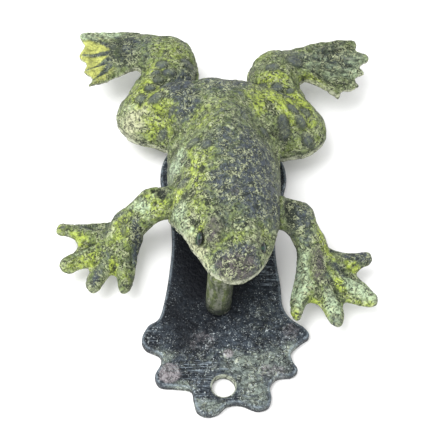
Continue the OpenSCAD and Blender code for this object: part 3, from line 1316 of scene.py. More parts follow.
    lime: Sequence[Patch] = (
        Patch(-9.6, 22, 5, 15, 6, 0.7), Patch(-27, 62, 7, 10, 0, 1.0), Patch(-22, 54, 7, 6, 0, 0.9),
        Patch(14, 64, 6, 13, -18, 1.2), Patch(22, 60, 8, 9, 0, 1.1),
        Patch(28, 54, 7, 7, 0, 0.5), Patch(-17.6, 16.4, 2.6, 3.4, 0, 1.4),
        Patch(-19, 84, 7, 8, 0, 0.5), Patch(-3, -5, 5, 5, 0, 0.4), Patch(3, -2, 3, 4, 0, 0.6),
        Patch(-8, 46, 8, 8, 0, 0.5), Patch(-25, 76, 4, 4, 0, 0.75), Patch(31, 76, 6, 2.4, -35, 0.95),
        Patch(-11, 0, 3, 5, 20, 0.55), Patch(14, 88, 6, 4, 30, 0.5), Patch(-8.8, 2.6, 1.6, 2, 0, 1.0),
        Patch(11, 2, 3, 3, 0, 0.5), Patch(16, 8, 2, 2, 0, 0.6), Patch(5, 14, 2, 2.5, 0, 0.7))
    mint: Sequence[Patch] = (
        Patch(-16.6, 31, 3, 5, 0, 0.9), Patch(-15.4, 10, 3, 5, 20, 0.6),
        Patch(-46, 95.2, 8, 2.2, 0, 1.2),
        Patch(-33, 58, 4, 6, 0, 0.4), Patch(-8, -6, 3, 5, 40, 0.4), Patch(-14, 4, 3, 7, 20, 0.65),
        Patch(41, 85, 11, 7, -10, 1.0), Patch(-5, -11, 4, 2, -30, 0.5), Patch(-14, 38, 4, 5, 0, 0.4))
    bone: Sequence[Patch] = (
        Patch(-32, 55, 6, 5, -30, 0.75), Patch(-10, -4, 2.4, 8, 28, 0.8), Patch(0, -13, 8, 2, 0, 0.6),
        Patch(-12, 6, 3, 4, 0, 0.5), Patch(13, -4, 2, 6, -20, 0.4), Patch(-46, 95, 8, 2, 0, 0.4))
    plum: Sequence[Patch] = (
        Patch(-5, 0, 3.5, 5, 0, 0.75), Patch(8, -4, 4, 5, 0, 0.5), Patch(3, -10, 6.5, 4, 0, 1.0),
        Patch(2, 14, 5, 5, 0, 0.35), Patch(-10, 12, 4, 4, 0, 0.35))

    def _plan(self, lat: Lattice3) -> dict[str, Array]:
        """Signed distances to the outlines.

        Args:
            lat: The lattice.

        Returns:
            Distances on the plan to the trunk, each leg and the whole frog.
        """
        def distance(points: Sequence[Point2]) -> Array:
            """Signed distance to one outline."""
            return outline_distance(closed_curve(points), lat.x, lat.y)

        plan = {"trunk": distance(self.trunk_outline),
                "left": distance(self.leg_left_outline),
                "right": distance(self.leg_right_outline)}
        legs = np.minimum(plan["left"], plan["right"])
        plan["all"] = smooth_min(plan["trunk"], legs, 1.2)
        return plan

    def _underside(self, y: Array) -> Array:
        """Height of the trunk's lower edge: the chin, a slope past the jaw, then the rim."""
        return np.interp(y, (0.0, 8.0, 22.0), (self.chin, 22.0, self.rim))

    def _feet(self, x: Array, y: Array) -> Array:
        """1 at the feet, and 0 on the trunk and thighs."""
        return smooth_step(23.0, 33.0, np.abs(x)) * smooth_step(68.0, 73.0, y)

    def _lower_edge(self, x: Array, y: Array) -> Array:
        """Height of the casting's lower edge: the trunk's, raised at the feet."""
        return self._underside(y) + (self.foot - self.rim) * self._feet(x, y)

    def _trunk_top(self, lat: Lattice3, inside: Array) -> Array:
        """Height of the back: an arch from edge to edge under the back line.

        The arch is (1 - u^p)^(1/q), where u is 1 at the outline and 0 in the middle; p and
        q fall at the head and the hips, for sloping sides. The half width at each y is the
        outline's own, found from the plan.

        Args:
            lat: The lattice.
            inside: Signed distance to the trunk's outline.

        Returns:
            Heights on the plan.
        """
        xs, ys = lat.axes[:2]
        within = inside < 0
        some = within.any(axis=0)
        low = np.where(some, np.where(within, lat.x, 1e3).min(axis=0), -1.0)
        high = np.where(some, np.where(within, lat.x, -1e3).max(axis=0), 1.0)
        kernel = np.ones(9) / 9
        low, high = (np.convolve(np.pad(v, 4, "edge"), kernel, "valid") for v in (low, high))
        middle, half = (low + high) / 2, np.maximum((high - low) / 2, 1.5) + 0.6
        half = np.minimum(half, np.interp(ys, *np.array(self.loins).T))
        u = np.clip(np.abs(xs[:, None] - middle[None]) / half[None], 0, 1)
        line = np.array(self.back_line)
        roof = np.interp(ys, line[:, 0], line[:, 1])
        roof = np.convolve(np.pad(roof, 6, "edge"), np.ones(13) / 13, "valid")
        edge = self._underside(ys) + self.band
        head, hips = smooth_step(14.0, -4.0, ys)[None], smooth_step(28.0, 46.0, ys)[None]
        arch = (1 - u ** (2.3 - 0.2 * head - 0.6 * hips)) ** (1 / (1.9 - 0.5 * head - 0.6 * hips))
        return edge[None] + np.maximum(roof - edge, 0.5)[None] * arch

    def _raised(self, x: Array, y: Array) -> Array:
        """Relief on the plan: warts in their moats, dents, brows, lids and back ridges.

        Args:
            x: Places, across.
            y: Places, up.

        Returns:
            How far the skin stands out.
        """
        rise = 0.6 * strongest(self.warts, x, y, 0.3)
        rise -= 0.3 * np.max([wart.ring(x, y) for wart in self.warts], axis=0)
        rise -= 0.8 * strongest(self.dents, x, y, 0.6)
        rise += 2.3 * strongest(self.brows, x, y, 0.55)
        rise -= 0.5 * np.max([brow.ring(x, y, 0.16) for brow in self.brows], axis=0)
        rise += 0.8 * np.max([lid.ring(x, y, 0.26) for lid in self.lids], axis=0)
        rise -= 0.9 * strongest(self.lids, x, y, 0.25)
        for side in (-1, 1):
            path = closed_curve([(side * a, b) for a, b in
                                 ((10, 47), (15.2, 39), (17.2, 28), (16.2, 16), (16.6, 28),
                                  (14.6, 38.6))], 4)
            away = np.abs(outline_distance(path, x, y))
            rise += 0.5 * (1 - smooth_step(0.0, 1.6, away))
        return rise

    def _toe_ridges(self, lat: Lattice3, top: Array, toes: Sequence[Point2],
                    heel: Point2, wide: float) -> Array:
        """Raises a tapering bone along each toe over the web.

        Args:
            lat: The lattice.
            top: Height map so far.
            toes: Tip of each toe.
            heel: Where the toes fan out from.
            wide: Half width of a bone at its tip.

        Returns:
            The new height map.
        """
        web = self.foot + 1.5
        for tip in toes:
            start = np.array(heel) + 0.42 * (np.array(tip) - np.array(heel))
            bone = Stretch((start[0], start[1], web - 0.4, 1.3 * wide, 1.0 + 1.2 * wide),
                           (tip[0], tip[1], web - 0.4, wide, 0.9 + 0.8 * wide))
            top = smooth_max(top, bone.top(lat.x, lat.y, 2.5), 0.3)
        return top

    def shape(self) -> tuple[Array, Array]:
        """Skin of the casting: under the height map, inside the outline, over the lower
        edge and outside the hollow.

        Returns:
            Vertices and quads.
        """
        lat = Lattice3((-57, -18, 6), (56, 100, 43), self.step)
        plan = self._plan(lat)
        trunk = self._trunk_top(lat, plan["trunk"])
        low = self._lower_edge(lat.x, lat.y)
        floor = low + self.band - 0.9 * self._feet(lat.x, lat.y)
        top = np.where(plan["trunk"] < 0, trunk, trunk - 3 * plan["trunk"])
        top = smooth_max(top, chain(self.pelvis)[0].top(lat.x, lat.y, 1.2), self.hip)
        for stations, instep in ((self.leg_left, self.instep_left),
                                 (self.leg_right, self.instep_right)):
            tops = [s.top(lat.x, lat.y) for s in chain(stations) + chain(instep)]
            top = smooth_max(top, tops[0], self.hip)
            for limb in tops[1:]:
                top = smooth_max(top, limb, self.seam)
        depth = -np.minimum(plan["all"], 0)
        bank = np.interp(np.abs(lat.x), (14.0, 21.0), (3.4, self.bank))
        beside = floor + 1.8 + bank * depth + 0.08 * depth**2
        beside += 40 * (1 - smooth_step(41.0, 45.0, lat.y))
        top = np.where(np.abs(lat.x) > 14, smooth_min(top, beside, 1.6), top)
        top = smooth_max(top, floor, 1.0)
        top = self._toe_ridges(lat, top, self.toes_left, self.heel_left, 0.6)
        top = self._toe_ridges(lat, top, self.toes_right, self.heel_right, 1.2)
        top = top + self._raised(lat.x, lat.y)
        solid = smooth_max(lat.under(top), plan["all"][..., None] + 0 * lat.z, 0.9)
        solid = smooth_max(solid, lat.over(low), 0.6)
        hollow = np.maximum(lat.under(np.minimum(trunk, top) - self.wall),
                            (smooth_max(plan["trunk"] + self.wall, 2.0 - lat.y, 3.0))[..., None])
        solid = smooth_max(solid, -hollow, 0.8)
        return lat.skin(solid)

    def masks(self, p: Array, n: Array, relief: Array) -> dict[str, Array]:
        """Values for the finish at each vertex.

        Args:
            p: Vertices.
            n: Normals of the even skin.
            relief: How far each stands out of its surroundings, from -1 to 1.

        Returns:
            A value at each vertex for each mask.
        """
        x, y = p[:, 0], p[:, 1]
        wart = strongest(self.warts, x, y, 0.25)
        web = strongest([Patch(-47.6, 83, 8.4, 10)], x, y, 0.3) * smooth_step(0.2, 0.6, n[:, 2])
        ray = np.zeros(len(p))
        for tip in self.toes_left:
            bone = Stretch((-36, 86.4, 0, 2.4, 1.0), (*tip, 0, 0.4, 1.0))
            ray = np.maximum(ray, np.clip(bone.top(x, y, 0.0), 0, 1))
        toe = np.zeros(len(p))
        for tip in self.toes_right:
            bone = Stretch((*self.heel_right, 0, 0.7, 1.0), (*tip, 0, 1.7, 1.0))
            toe = np.maximum(toe, np.clip(bone.top(x, y, 1.2), 0, 1))
        # gap: painted shade between the right toes
        gap = 0.65 * Patch(43, 84, 9, 13).on(x, y, 0.3) * (1 - toe)
        height = p[:, 2] - self._lower_edge(x, y)
        upright = 1 - smooth_step(0.25, 0.6, np.abs(n[:, 2]))
        # rim: the low upright edge, made pale as rubbed metal and painted light
        rim = upright * (1 - smooth_step(self.band - 0.4, self.band + 0.4, height))
        # lip: a painted shade line along the crease over the upright edge
        lip = np.exp(-((height - self.band - 0.7) / 0.5) ** 2) * smooth_step(28.0, 36.0, y)
        dent = strongest(self.dents, x, y, 0.5)
        rings = [spot.ring(x, y, 0.22) for spot in self.warts]
        return {
            "slate": strongest(self.slate, x, y, 0.8) * (1 - 0.9 * web) + 0.75 * web * ray,
            "lime": strongest(self.lime, x, y, 0.8) * (1 - wart),
            "mint": strongest(self.mint, x, y, 0.8) * (1 - wart),
            "plum": strongest(self.plum, x, y, 0.8),
            "wart": wart,
            "hollow_shade": np.max(rings + [lip, dent, gap], axis=0),
            "bone": strongest(self.bone, x, y, 0.8) * (1 - wart),
            "web": web * (1 - 0.8 * ray),
            # relief, lowered in the dents so that they take more painted shade
            "relief": np.clip(relief - 0.8 * dent, -1, 1),
            "rim": rim,
            # side: painted shade on faces that turn sideways or down
            "side": 1 - smooth_step(-0.2, 0.55, n[:, 2]),
        }

    def build(self, material: bpy.types.Material) -> bpy.types.Object:
        """Makes the casting and hands it over to the frame.

        Args:
            material: Its finish.

        Returns:
            The piece.
        """
        p, quads = self.shape()
        p, n, relief = roughen(p, quads)
        piece = make_piece("frog_casting", p, quads, material, self.masks(p, n, relief))
        hand_over(piece, Body.FROG, "frog_body")
        return piece


def roughen(p: Array, quads: Array, pebble: float = 0.26, wave: float = 0.34,
            crease: float = 0.34) -> tuple[Array, Array, Array]:
    """Moves the skin in and out as a sand casting's is.

    The move is grains 1.9 mm apart, clouds 4 mm across and thin creases where a third
    noise passes zero. Relief is how far the vertex stands over its wider neighbours.

    Args:
        p: Vertices.
        quads: Corners of each face.
        pebble: Height of the grains.
        wave: Height of the clouds.
        crease: Depth of the creases.

    Returns:
        The moved vertices, their normals before the move, and how far each stands out,
        from -1 to 1.
    """
    n = surface_normals(p, quads)
    grains = pebble_noise(p, 1.9) - 0.55
    clouds = value_noise(p, 4.0) * 0.6 + value_noise(p, 2.1, 5.0) * 0.4
    folds = (1 - np.abs(value_noise(p, 2.7, 7.0))) ** 8
    moved = p + n * (pebble * grains + wave * clouds - crease * folds)[:, None]
    broad = moved
    for _ in range(8):
        broad = even_out(broad, quads, 0.9)
    relief = np.clip(np.sum((moved - broad) * n, axis=1) / 0.3, -1, 1)
    return moved, n, relief


@dataclass
class Arm:
    """One front arm with its open hand, a casting of its own.

    Args:
        name: The piece's name.
        node: The frame node that it stands for.
        stations: Places along the arm from the shoulder to the palm.
        outline: Plan of the hand and wrist.
        fingers: Tip of each finger.
        palm: Where the fingers fan out from.
        slate: Dark blue-grey patches.
        lime: Yellow-green patches.
        mint: Pale green patches.
        plum: Brown patches.
        warts: Round spots.
        dents: Hollows where the shoulder meets the back.
        under: Height of the hand's underside above the door.
        thick: Height of the web between the fingers over the underside.
        step: Spacing of the lattice that its skin is drawn on.
    """

    name: str
    node: str
    stations: Sequence[tuple[float, ...]]
    outline: Sequence[Point2]
    fingers: Sequence[Point2]
    palm: Point2
    slate: Sequence[Patch]
    lime: Sequence[Patch]
    mint: Sequence[Patch]
    plum: Sequence[Patch]
    warts: Sequence[Patch]
    dents: Sequence[Patch]
    under: float = 7.0
    thick: float = 2.2
    step: float = 0.42

    def shape(self) -> tuple[Array, Array]:
        """Skin of the arm: rounded stretches joined smoothly to a flat-backed hand whose
        fingers are raised ridges inside its outline.

        Returns:
            Vertices and quads.
        """
        low, high = box_mm(self.node)
        lat = Lattice3(tuple(low - 3), tuple(high + 3), self.step)
        side = outline_distance(closed_curve(self.outline), lat.x, lat.y)
        top = np.full(lat.x.shape, self.under + self.thick)
        for tip in self.fingers:
            start = np.array(self.palm) + 0.15 * (np.array(tip) - np.array(self.palm))
            bone = Stretch((start[0], start[1], self.under + 1.4, 3.4, 3.2),
                           (tip[0], tip[1], self.under + 1.3, 2.7, 2.5))
            top = smooth_max(top, bone.top(lat.x, lat.y, 1.6), 0.7)
        hand = smooth_max(lat.under(top), side[..., None] + 0 * lat.z, 1.6)
        hand = smooth_max(hand, self.under - lat.z, 1.2)
        x, y = lat.x[..., None], lat.y[..., None]
        limb = None
        for stretch in chain(self.stations):
            part = stretch.solid(x, y, lat.z)
            limb = part if limb is None else smooth_min(limb, part, 1.5)
        return lat.skin(smooth_min(hand, limb, 2.4))

    def build(self, material: bpy.types.Material) -> bpy.types.Object:
        """Makes the arm and hands it over to the frame.

        Args:
            material: Its finish.

        Returns:
            The piece.
        """
        p, quads = self.shape()
        p, n, relief = roughen(p, quads, 0.2, 0.2, 0.22)
        x, y = p[:, 0], p[:, 1]
        dent = strongest(self.dents, x, y, 0.6) * smooth_step(0.0, 0.5, n[:, 2])
        p = p - 0.9 * n * dent[:, None]
        masks = {key: strongest(patches, x, y, 0.8) for key, patches in
                 (("slate", self.slate), ("lime", self.lime), ("mint", self.mint),
                  ("plum", self.plum))}
        # relief, lowered in the dents so that they take more painted shade
        masks["relief"] = np.clip(relief - 0.9 * dent, -1, 1)
        masks["wart"] = strongest(self.warts, x, y, 0.3)
        rings = [spot.ring(x, y, 0.3) for spot in self.warts]
        # painted shade in the grooves round the warts and in the shoulder dents
        masks["hollow_shade"] = np.max(rings + [1.4 * dent], axis=0)
        # side: painted shade on faces that turn sideways or down
        masks["side"] = 1 - smooth_step(-0.2, 0.55, n[:, 2])
        piece = make_piece(self.name, p, quads, material, masks)
        hand_over(piece, Body.FROG, self.node)
        return piece


LEFT_ARM = Arm(
    "arm_casting_left", "arm_left",
    stations=((-17.5, 19.6, 20.5, 5.6, 5.6), (-24, 19.9, 18, 5.4, 5.2), (-31.4, 15.4, 13, 5.4, 4.6),
              (-36, 9, 9.6, 6, 3)),
    outline=((-29, 22.4), (-32, 21.6), (-35.4, 20.2), (-40, 18.9), (-46, 18.2), (-52, 17.8),
             (-55.2, 17.2), (-56.2, 15.2), (-55.2, 13.5), (-52.4, 13), (-50, 12), (-48.6, 9.6),
             (-49.2, 7.4), (-51.6, 5.6), (-53.7, 3.6), (-54, 1.2), (-52.6, -0.6), (-50, -1.1),
             (-47.6, 0.2), (-45.4, 1), (-44.4, 0), (-44.9, -3), (-45, -6.4), (-43, -8.4),
             (-40.8, -7.4), (-39, -4.4), (-37.2, -1.6), (-35.6, -2), (-34.8, -5.2), (-33.6, -8),
             (-31, -7.4), (-29.5, -3), (-29, 2), (-28.3, 7.6), (-27, 13)),
    fingers=((-53.6, 15.4), (-51.4, 2), (-42.8, -5.6), (-32.2, -5.2)), palm=(-35, 9),
    slate=(Patch(-45, 16, 7, 2.5, 0, 0.65), Patch(-28.6, 7, 2.2, 9, 10, 0.95),
           Patch(-39.5, 3, 2.5, 5, -30, 0.55), Patch(-30, 21, 8, 1.6, -30, 0.5),
           Patch(-30.6, 1, 2, 6, 0, 0.5), Patch(-42, -4, 2, 5, -20, 0.8),
           Patch(-38, 12, 5, 3, 0, 0.35), Patch(-36, 17, 4, 2, -10, 0.6)),
    lime=(Patch(-48, 10.5, 3.4, 2.2, -30, 1.2), Patch(-44, 2.6, 4, 2.4, 20, 1.1),
          Patch(-36.4, 0.5, 1.4, 3.4, 0, 1.1), Patch(-25, 18, 6, 4, -20, 0.9),
          Patch(-29, 15.5, 4, 3, -40, 0.7), Patch(-33.6, 12, 4, 4, 0, 0.75),
          Patch(-50, 1, 4, 2, 20, 0.55), Patch(-40, 7, 7, 4, 0, 0.4),
          Patch(-54, 15, 1.6, 1.6, 0, 0.6), Patch(-32, -3, 1.5, 4, 0, 0.5)),
    mint=(Patch(-28, 17.5, 6, 2.6, -40, 0.68), Patch(-22, 20, 4, 3, 0, 0.4),
          Patch(-46.5, 6, 4, 0.8, 35, 0.7)),
    plum=(Patch(-37, 13, 5, 3, 0, 0.3),),
    warts=(Patch(-33.4, 11.6, 0.9, 1.5), Patch(-53.6, 15, 0.7, 1.1)),
    dents=(Patch(-21.4, 20.6, 1.4, 2.6, 8, 1.5), Patch(-24, 22, 0.7, 0.9), Patch(-23.4, 17, 0.6, 0.8)))
RIGHT_ARM = Arm(
    "arm_casting_right", "arm_right",
    stations=((17.2, 16.6, 20.5, 5.6, 5.6), (23.6, 16.2, 18, 5.4, 5.2), (28.2, 9.8, 13, 4.8, 4.6),
              (31, 2, 9.6, 6, 3)),
    outline=((30, 16), (32, 13.8), (34.6, 11.4), (38, 9.8), (42, 9.2), (46, 9.8), (48.6, 9),
             (49.4, 7), (48, 4.8), (45.4, 3.4), (43.8, 1.4), (44.4, -0.4), (46.8, -2.8),
             (49.4, -6.2), (50.4, -8.8), (49, -10.6), (45.6, -10.9), (42, -10), (39.6, -9.5),
             (38.9, -11), (38.8, -14.8), (38, -18), (35.8, -18.8), (33.8, -16.8),
             (32, -13), (30.2, -10.7), (28, -10.1), (26.6, -11), (25.6, -13.6),
             (24.4, -16.2), (22.4, -16.2), (21.3, -13.2), (21.5, -8), (22.8, -2), (24, 4),
             (24.4, 9), (25.6, 13)),
    fingers=((46.8, 7.1), (47.8, -8.2), (36.2, -16), (23.6, -13.6)), palm=(30, 2),
    slate=(Patch(24, 15, 6, 5, 0, 0.85), Patch(33, -3, 3, 5, 20, 0.5),
           Patch(44.6, 6.6, 6, 2.4, 0, 0.95), Patch(37, 1, 5, 2, -40, 0.7),
           Patch(23.4, 3, 1.5, 9, 0, 0.5), Patch(36, -17, 2.4, 2.4, 0, 0.6),
           Patch(26, 8.6, 3.5, 4, 0, 0.6), Patch(37, 9, 5, 2, -20, 0.6)),
    lime=(Patch(42.6, 3, 3, 1.8, -30, 1.2), Patch(38, -5, 1.5, 6, 30, 0.85),
          Patch(22.6, -15, 1.3, 2, 0, 0.9), Patch(30, -9.6, 3, 1.2, 0, 0.7),
          Patch(33, 8, 2.2, 6, 25, 0.85), Patch(21.4, 16, 2, 3, 0, 0.6),
          Patch(45, -10, 5, 0.9, -10, 0.7), Patch(30.4, 14, 1.6, 5, 20, 0.8),
          Patch(32.4, -13, 1, 4, 30, 0.9)),
    mint=(Patch(24.4, -4, 2.8, 10, -4, 1.0), Patch(44, -5.4, 6, 3, -35, 1.05),
          Patch(35, -12, 2.8, 6, 12, 0.9), Patch(28, -5, 3, 4, 0, 0.4),
          Patch(46, -1, 4, 0.8, -45, 0.6)),
    plum=(Patch(30.6, 1, 2.4, 7, 0, 0.7), Patch(34, -8, 2.5, 5, 0, 0.5)),
    warts=(Patch(26.6, 12.4, 0.9, 1.2),),
    dents=(Patch(20.8, 15.4, 1.7, 4.4, 6, 1.6), Patch(23.6, 19, 0.9, 1.3)))


@dataclass
class Backplate:
    """The lobed plate with its two screw holes and the hinge ears, one casting.

    Args:
        outline: Plan of the plate.
        hole: Radius of each screw hole.
        holes_y: Place of each hole along Y.
        ears: Middle of each ear along X, and half its thickness.
        ear_radius: Round of the ears about the pin.
        step: Spacing of the lattice that its skin is drawn on.
        thick: Thickness of the plate.
        green: Grey-green patches.
        rosy: Pinkish-grey patches.
        shade_black: Painted shade under the frog, as patches.
        filed: Places with file marks.
    """

    outline: Sequence[Point2] = (
        (0, 64), (-12, 60.5), (-20, 51), (-22, 42), (-20.2, 33), (-18, 24), (-17.4, 14),
        (-18, 4), (-19.2, -6), (-21, -14), (-24.4, -16.8), (-26.4, -21.6), (-25, -25),
        (-20.6, -27.2), (-20, -30.4), (-21.8, -34.6), (-20.2, -38), (-15.5, -38.5),
        (-10.4, -39.2), (-9.4, -42.8), (-8.2, -46.6), (-5, -48), (-1.5, -46.9),
        (1.2, -44.3), (5.5, -43.8), (10.4, -45.6), (14, -44.6), (15.2, -41.6),
        (14.8, -37.6), (17.2, -34.4), (21.8, -33.6), (23.8, -31.4), (22.3, -28.4),
        (21.8, -25.2), (24.8, -21.9), (27.9, -19.2), (26.6, -16.4), (22.3, -13.2),
        (19.6, -8.5), (18.9, 0), (17.8, 9), (17.5, 18), (18.3, 27), (20.5, 35),
        (22, 43), (20, 51), (12, 60.5))
    hole: float = 3.75
    holes_y: Sequence[float] = (-38.0, 38.0)
    ears: tuple[float, float] = (6.8, 2.0)
    ear_radius: float = 4.5
    step: float = 0.37
    thick: float = 3.0
    green: Sequence[Patch] = (
        Patch(6, -31, 8, 5, -30, 0.8), Patch(-13, -38.6, 4, 2, 0, 0.8),
        Patch(22, -25, 3, 4, 0, 0.8), Patch(14, -30, 8, 7, 0, 0.6),
        Patch(-19, -28, 4, 3, 0, 0.6), Patch(-5, -45, 7, 3, 0, 0.6),
        Patch(10, -39, 7, 6, 0, 0.7), Patch(14, -14, 6, 8, 0, 0.3),
        Patch(0, -30, 16, 6, 0, 0.25))
    rosy: Sequence[Patch] = (
        Patch(-17, -34, 3.4, 3.4, 0, 1.1), Patch(16, -33, 5, 4, 0, 0.45),
        Patch(-7, -22, 5, 4, 0, 0.4), Patch(1.6, -26.5, 1.6, 1.6, 0, 1.0),
        Patch(22, -18, 4, 3, 0, 0.4))
    # patches of painted shade under the frog
    shade_black: Sequence[Patch] = (
        Patch(-4, 6, 16, 18, 0, 1.25), Patch(-13, -12, 7, 12, 0, 0.85),
        Patch(3, -8, 7, 4, 0, 0.6))
    filed: Sequence[Patch] = (
        Patch(-6, -33, 9, 4.5, -8, 1.0), Patch(15.5, 3, 3.5, 4.5, 0, 1.0),
        Patch(-8, -41, 5, 4, 0, 0.8), Patch(6, -42, 5, 3, 0, 0.6),
        Patch(16, 10, 2.5, 3, 0, 0.7), Patch(-22, -20, 3, 4, 0, 0.5))

    def shape(self) -> tuple[Array, Array]:
        """Skin of the plate: a slab inside its outline with softened edges, its ears and
        its bores, and a small cast pip.

        Returns:
            Vertices and quads.
        """
        low, high = box_mm("backplate")
        pin_low, pin_high = box_mm("hinge_pin")
        pin_y, pin_z = (pin_low + pin_high)[1:] / 2
        pin_r = (pin_high - pin_low)[2] / 2
        lat = Lattice3(tuple(low - 1.5), tuple(high + 1.5), self.step)
        side = outline_distance(closed_curve(self.outline), lat.x, lat.y)
        pip = 0.7 * Patch(1.6, -26.5, 1.7, 1.7).on(lat.x, lat.y, 0.5)
        solid = smooth_max(lat.under(self.thick + pip), side[..., None] + 0 * lat.z, 0.8)
        solid = smooth_max(solid, 0.02 - lat.z + 0 * solid, 0.25)
        x, y = lat.x[..., None], lat.y[..., None]
        cheek = np.minimum(np.hypot(y - pin_y, lat.z - pin_z) - self.ear_radius,
                           np.maximum(np.abs(y - pin_y) - self.ear_radius, lat.z - pin_z))
        leaf = np.abs(np.abs(x) - self.ears[0]) - self.ears[1]
        ear = smooth_max(smooth_max(cheek, leaf, 0.6), 0.8 - lat.z + 0 * x, 0.2)
        solid = smooth_min(solid, ear, 0.9)
        for hole_y in self.holes_y:
            bore = self.hole - np.hypot(lat.x, lat.y - hole_y)
            solid = smooth_max(solid, bore[..., None] + 0 * lat.z, 0.2)
        bore = pin_r - np.hypot(y - pin_y, lat.z - pin_z) + 0 * x
        return lat.skin(smooth_max(solid, bore, 0.25))

    def build(self, material: bpy.types.Material) -> bpy.types.Object:
        """Makes the plate and hands it over to the frame.

        Args:
            material: Its finish.

        Returns:
            The piece.
        """
        p, quads = self.shape()
        n = surface_normals(p, quads)
        face = smooth_step(2.0, 2.9, p[:, 2])
        pebble = 0.10 * (pebble_noise(p, 1.7, 3.0) - 0.55) + 0.14 * value_noise(p, 5.0, 2.0)
        p = p + n * (face * (pebble - 0.05))[:, None]
        x, y = p[:, 0], p[:, 1]
        side = outline_distance(closed_curve(self.outline), x, y)
        masks = {
            "green": strongest(self.green, x, y, 0.8),
            "rosy": strongest(self.rosy, x, y),
            # painted shade under the frog
            "shade_black": strongest(self.shade_black, x, y, 0.6),
            "filed": strongest(self.filed, x, y, 0.4) * face,
            # edge: painted highlight just inside the outline, on the face
            "edge": np.exp(-((side + 0.5) / 0.35) ** 2) * smooth_step(1.2, 2.6, p[:, 2]),
            # wall: painted shade on the side wall, below the face
            "wall": 1 - smooth_step(1.0, 2.4, p[:, 2]),
            # bore: painted light on the wall of the lower screw hole
            "bore": (1 - smooth_step(0.15, 0.5, np.hypot(x, y - self.holes_y[0]) - self.hole))
            * smooth_step(0.5, 1.3, p[:, 2]),
        }
        piece = make_piece("plate_casting", p, quads, material, masks)
        hand_over(piece, Body.PLATE, "backplate")
        return piece


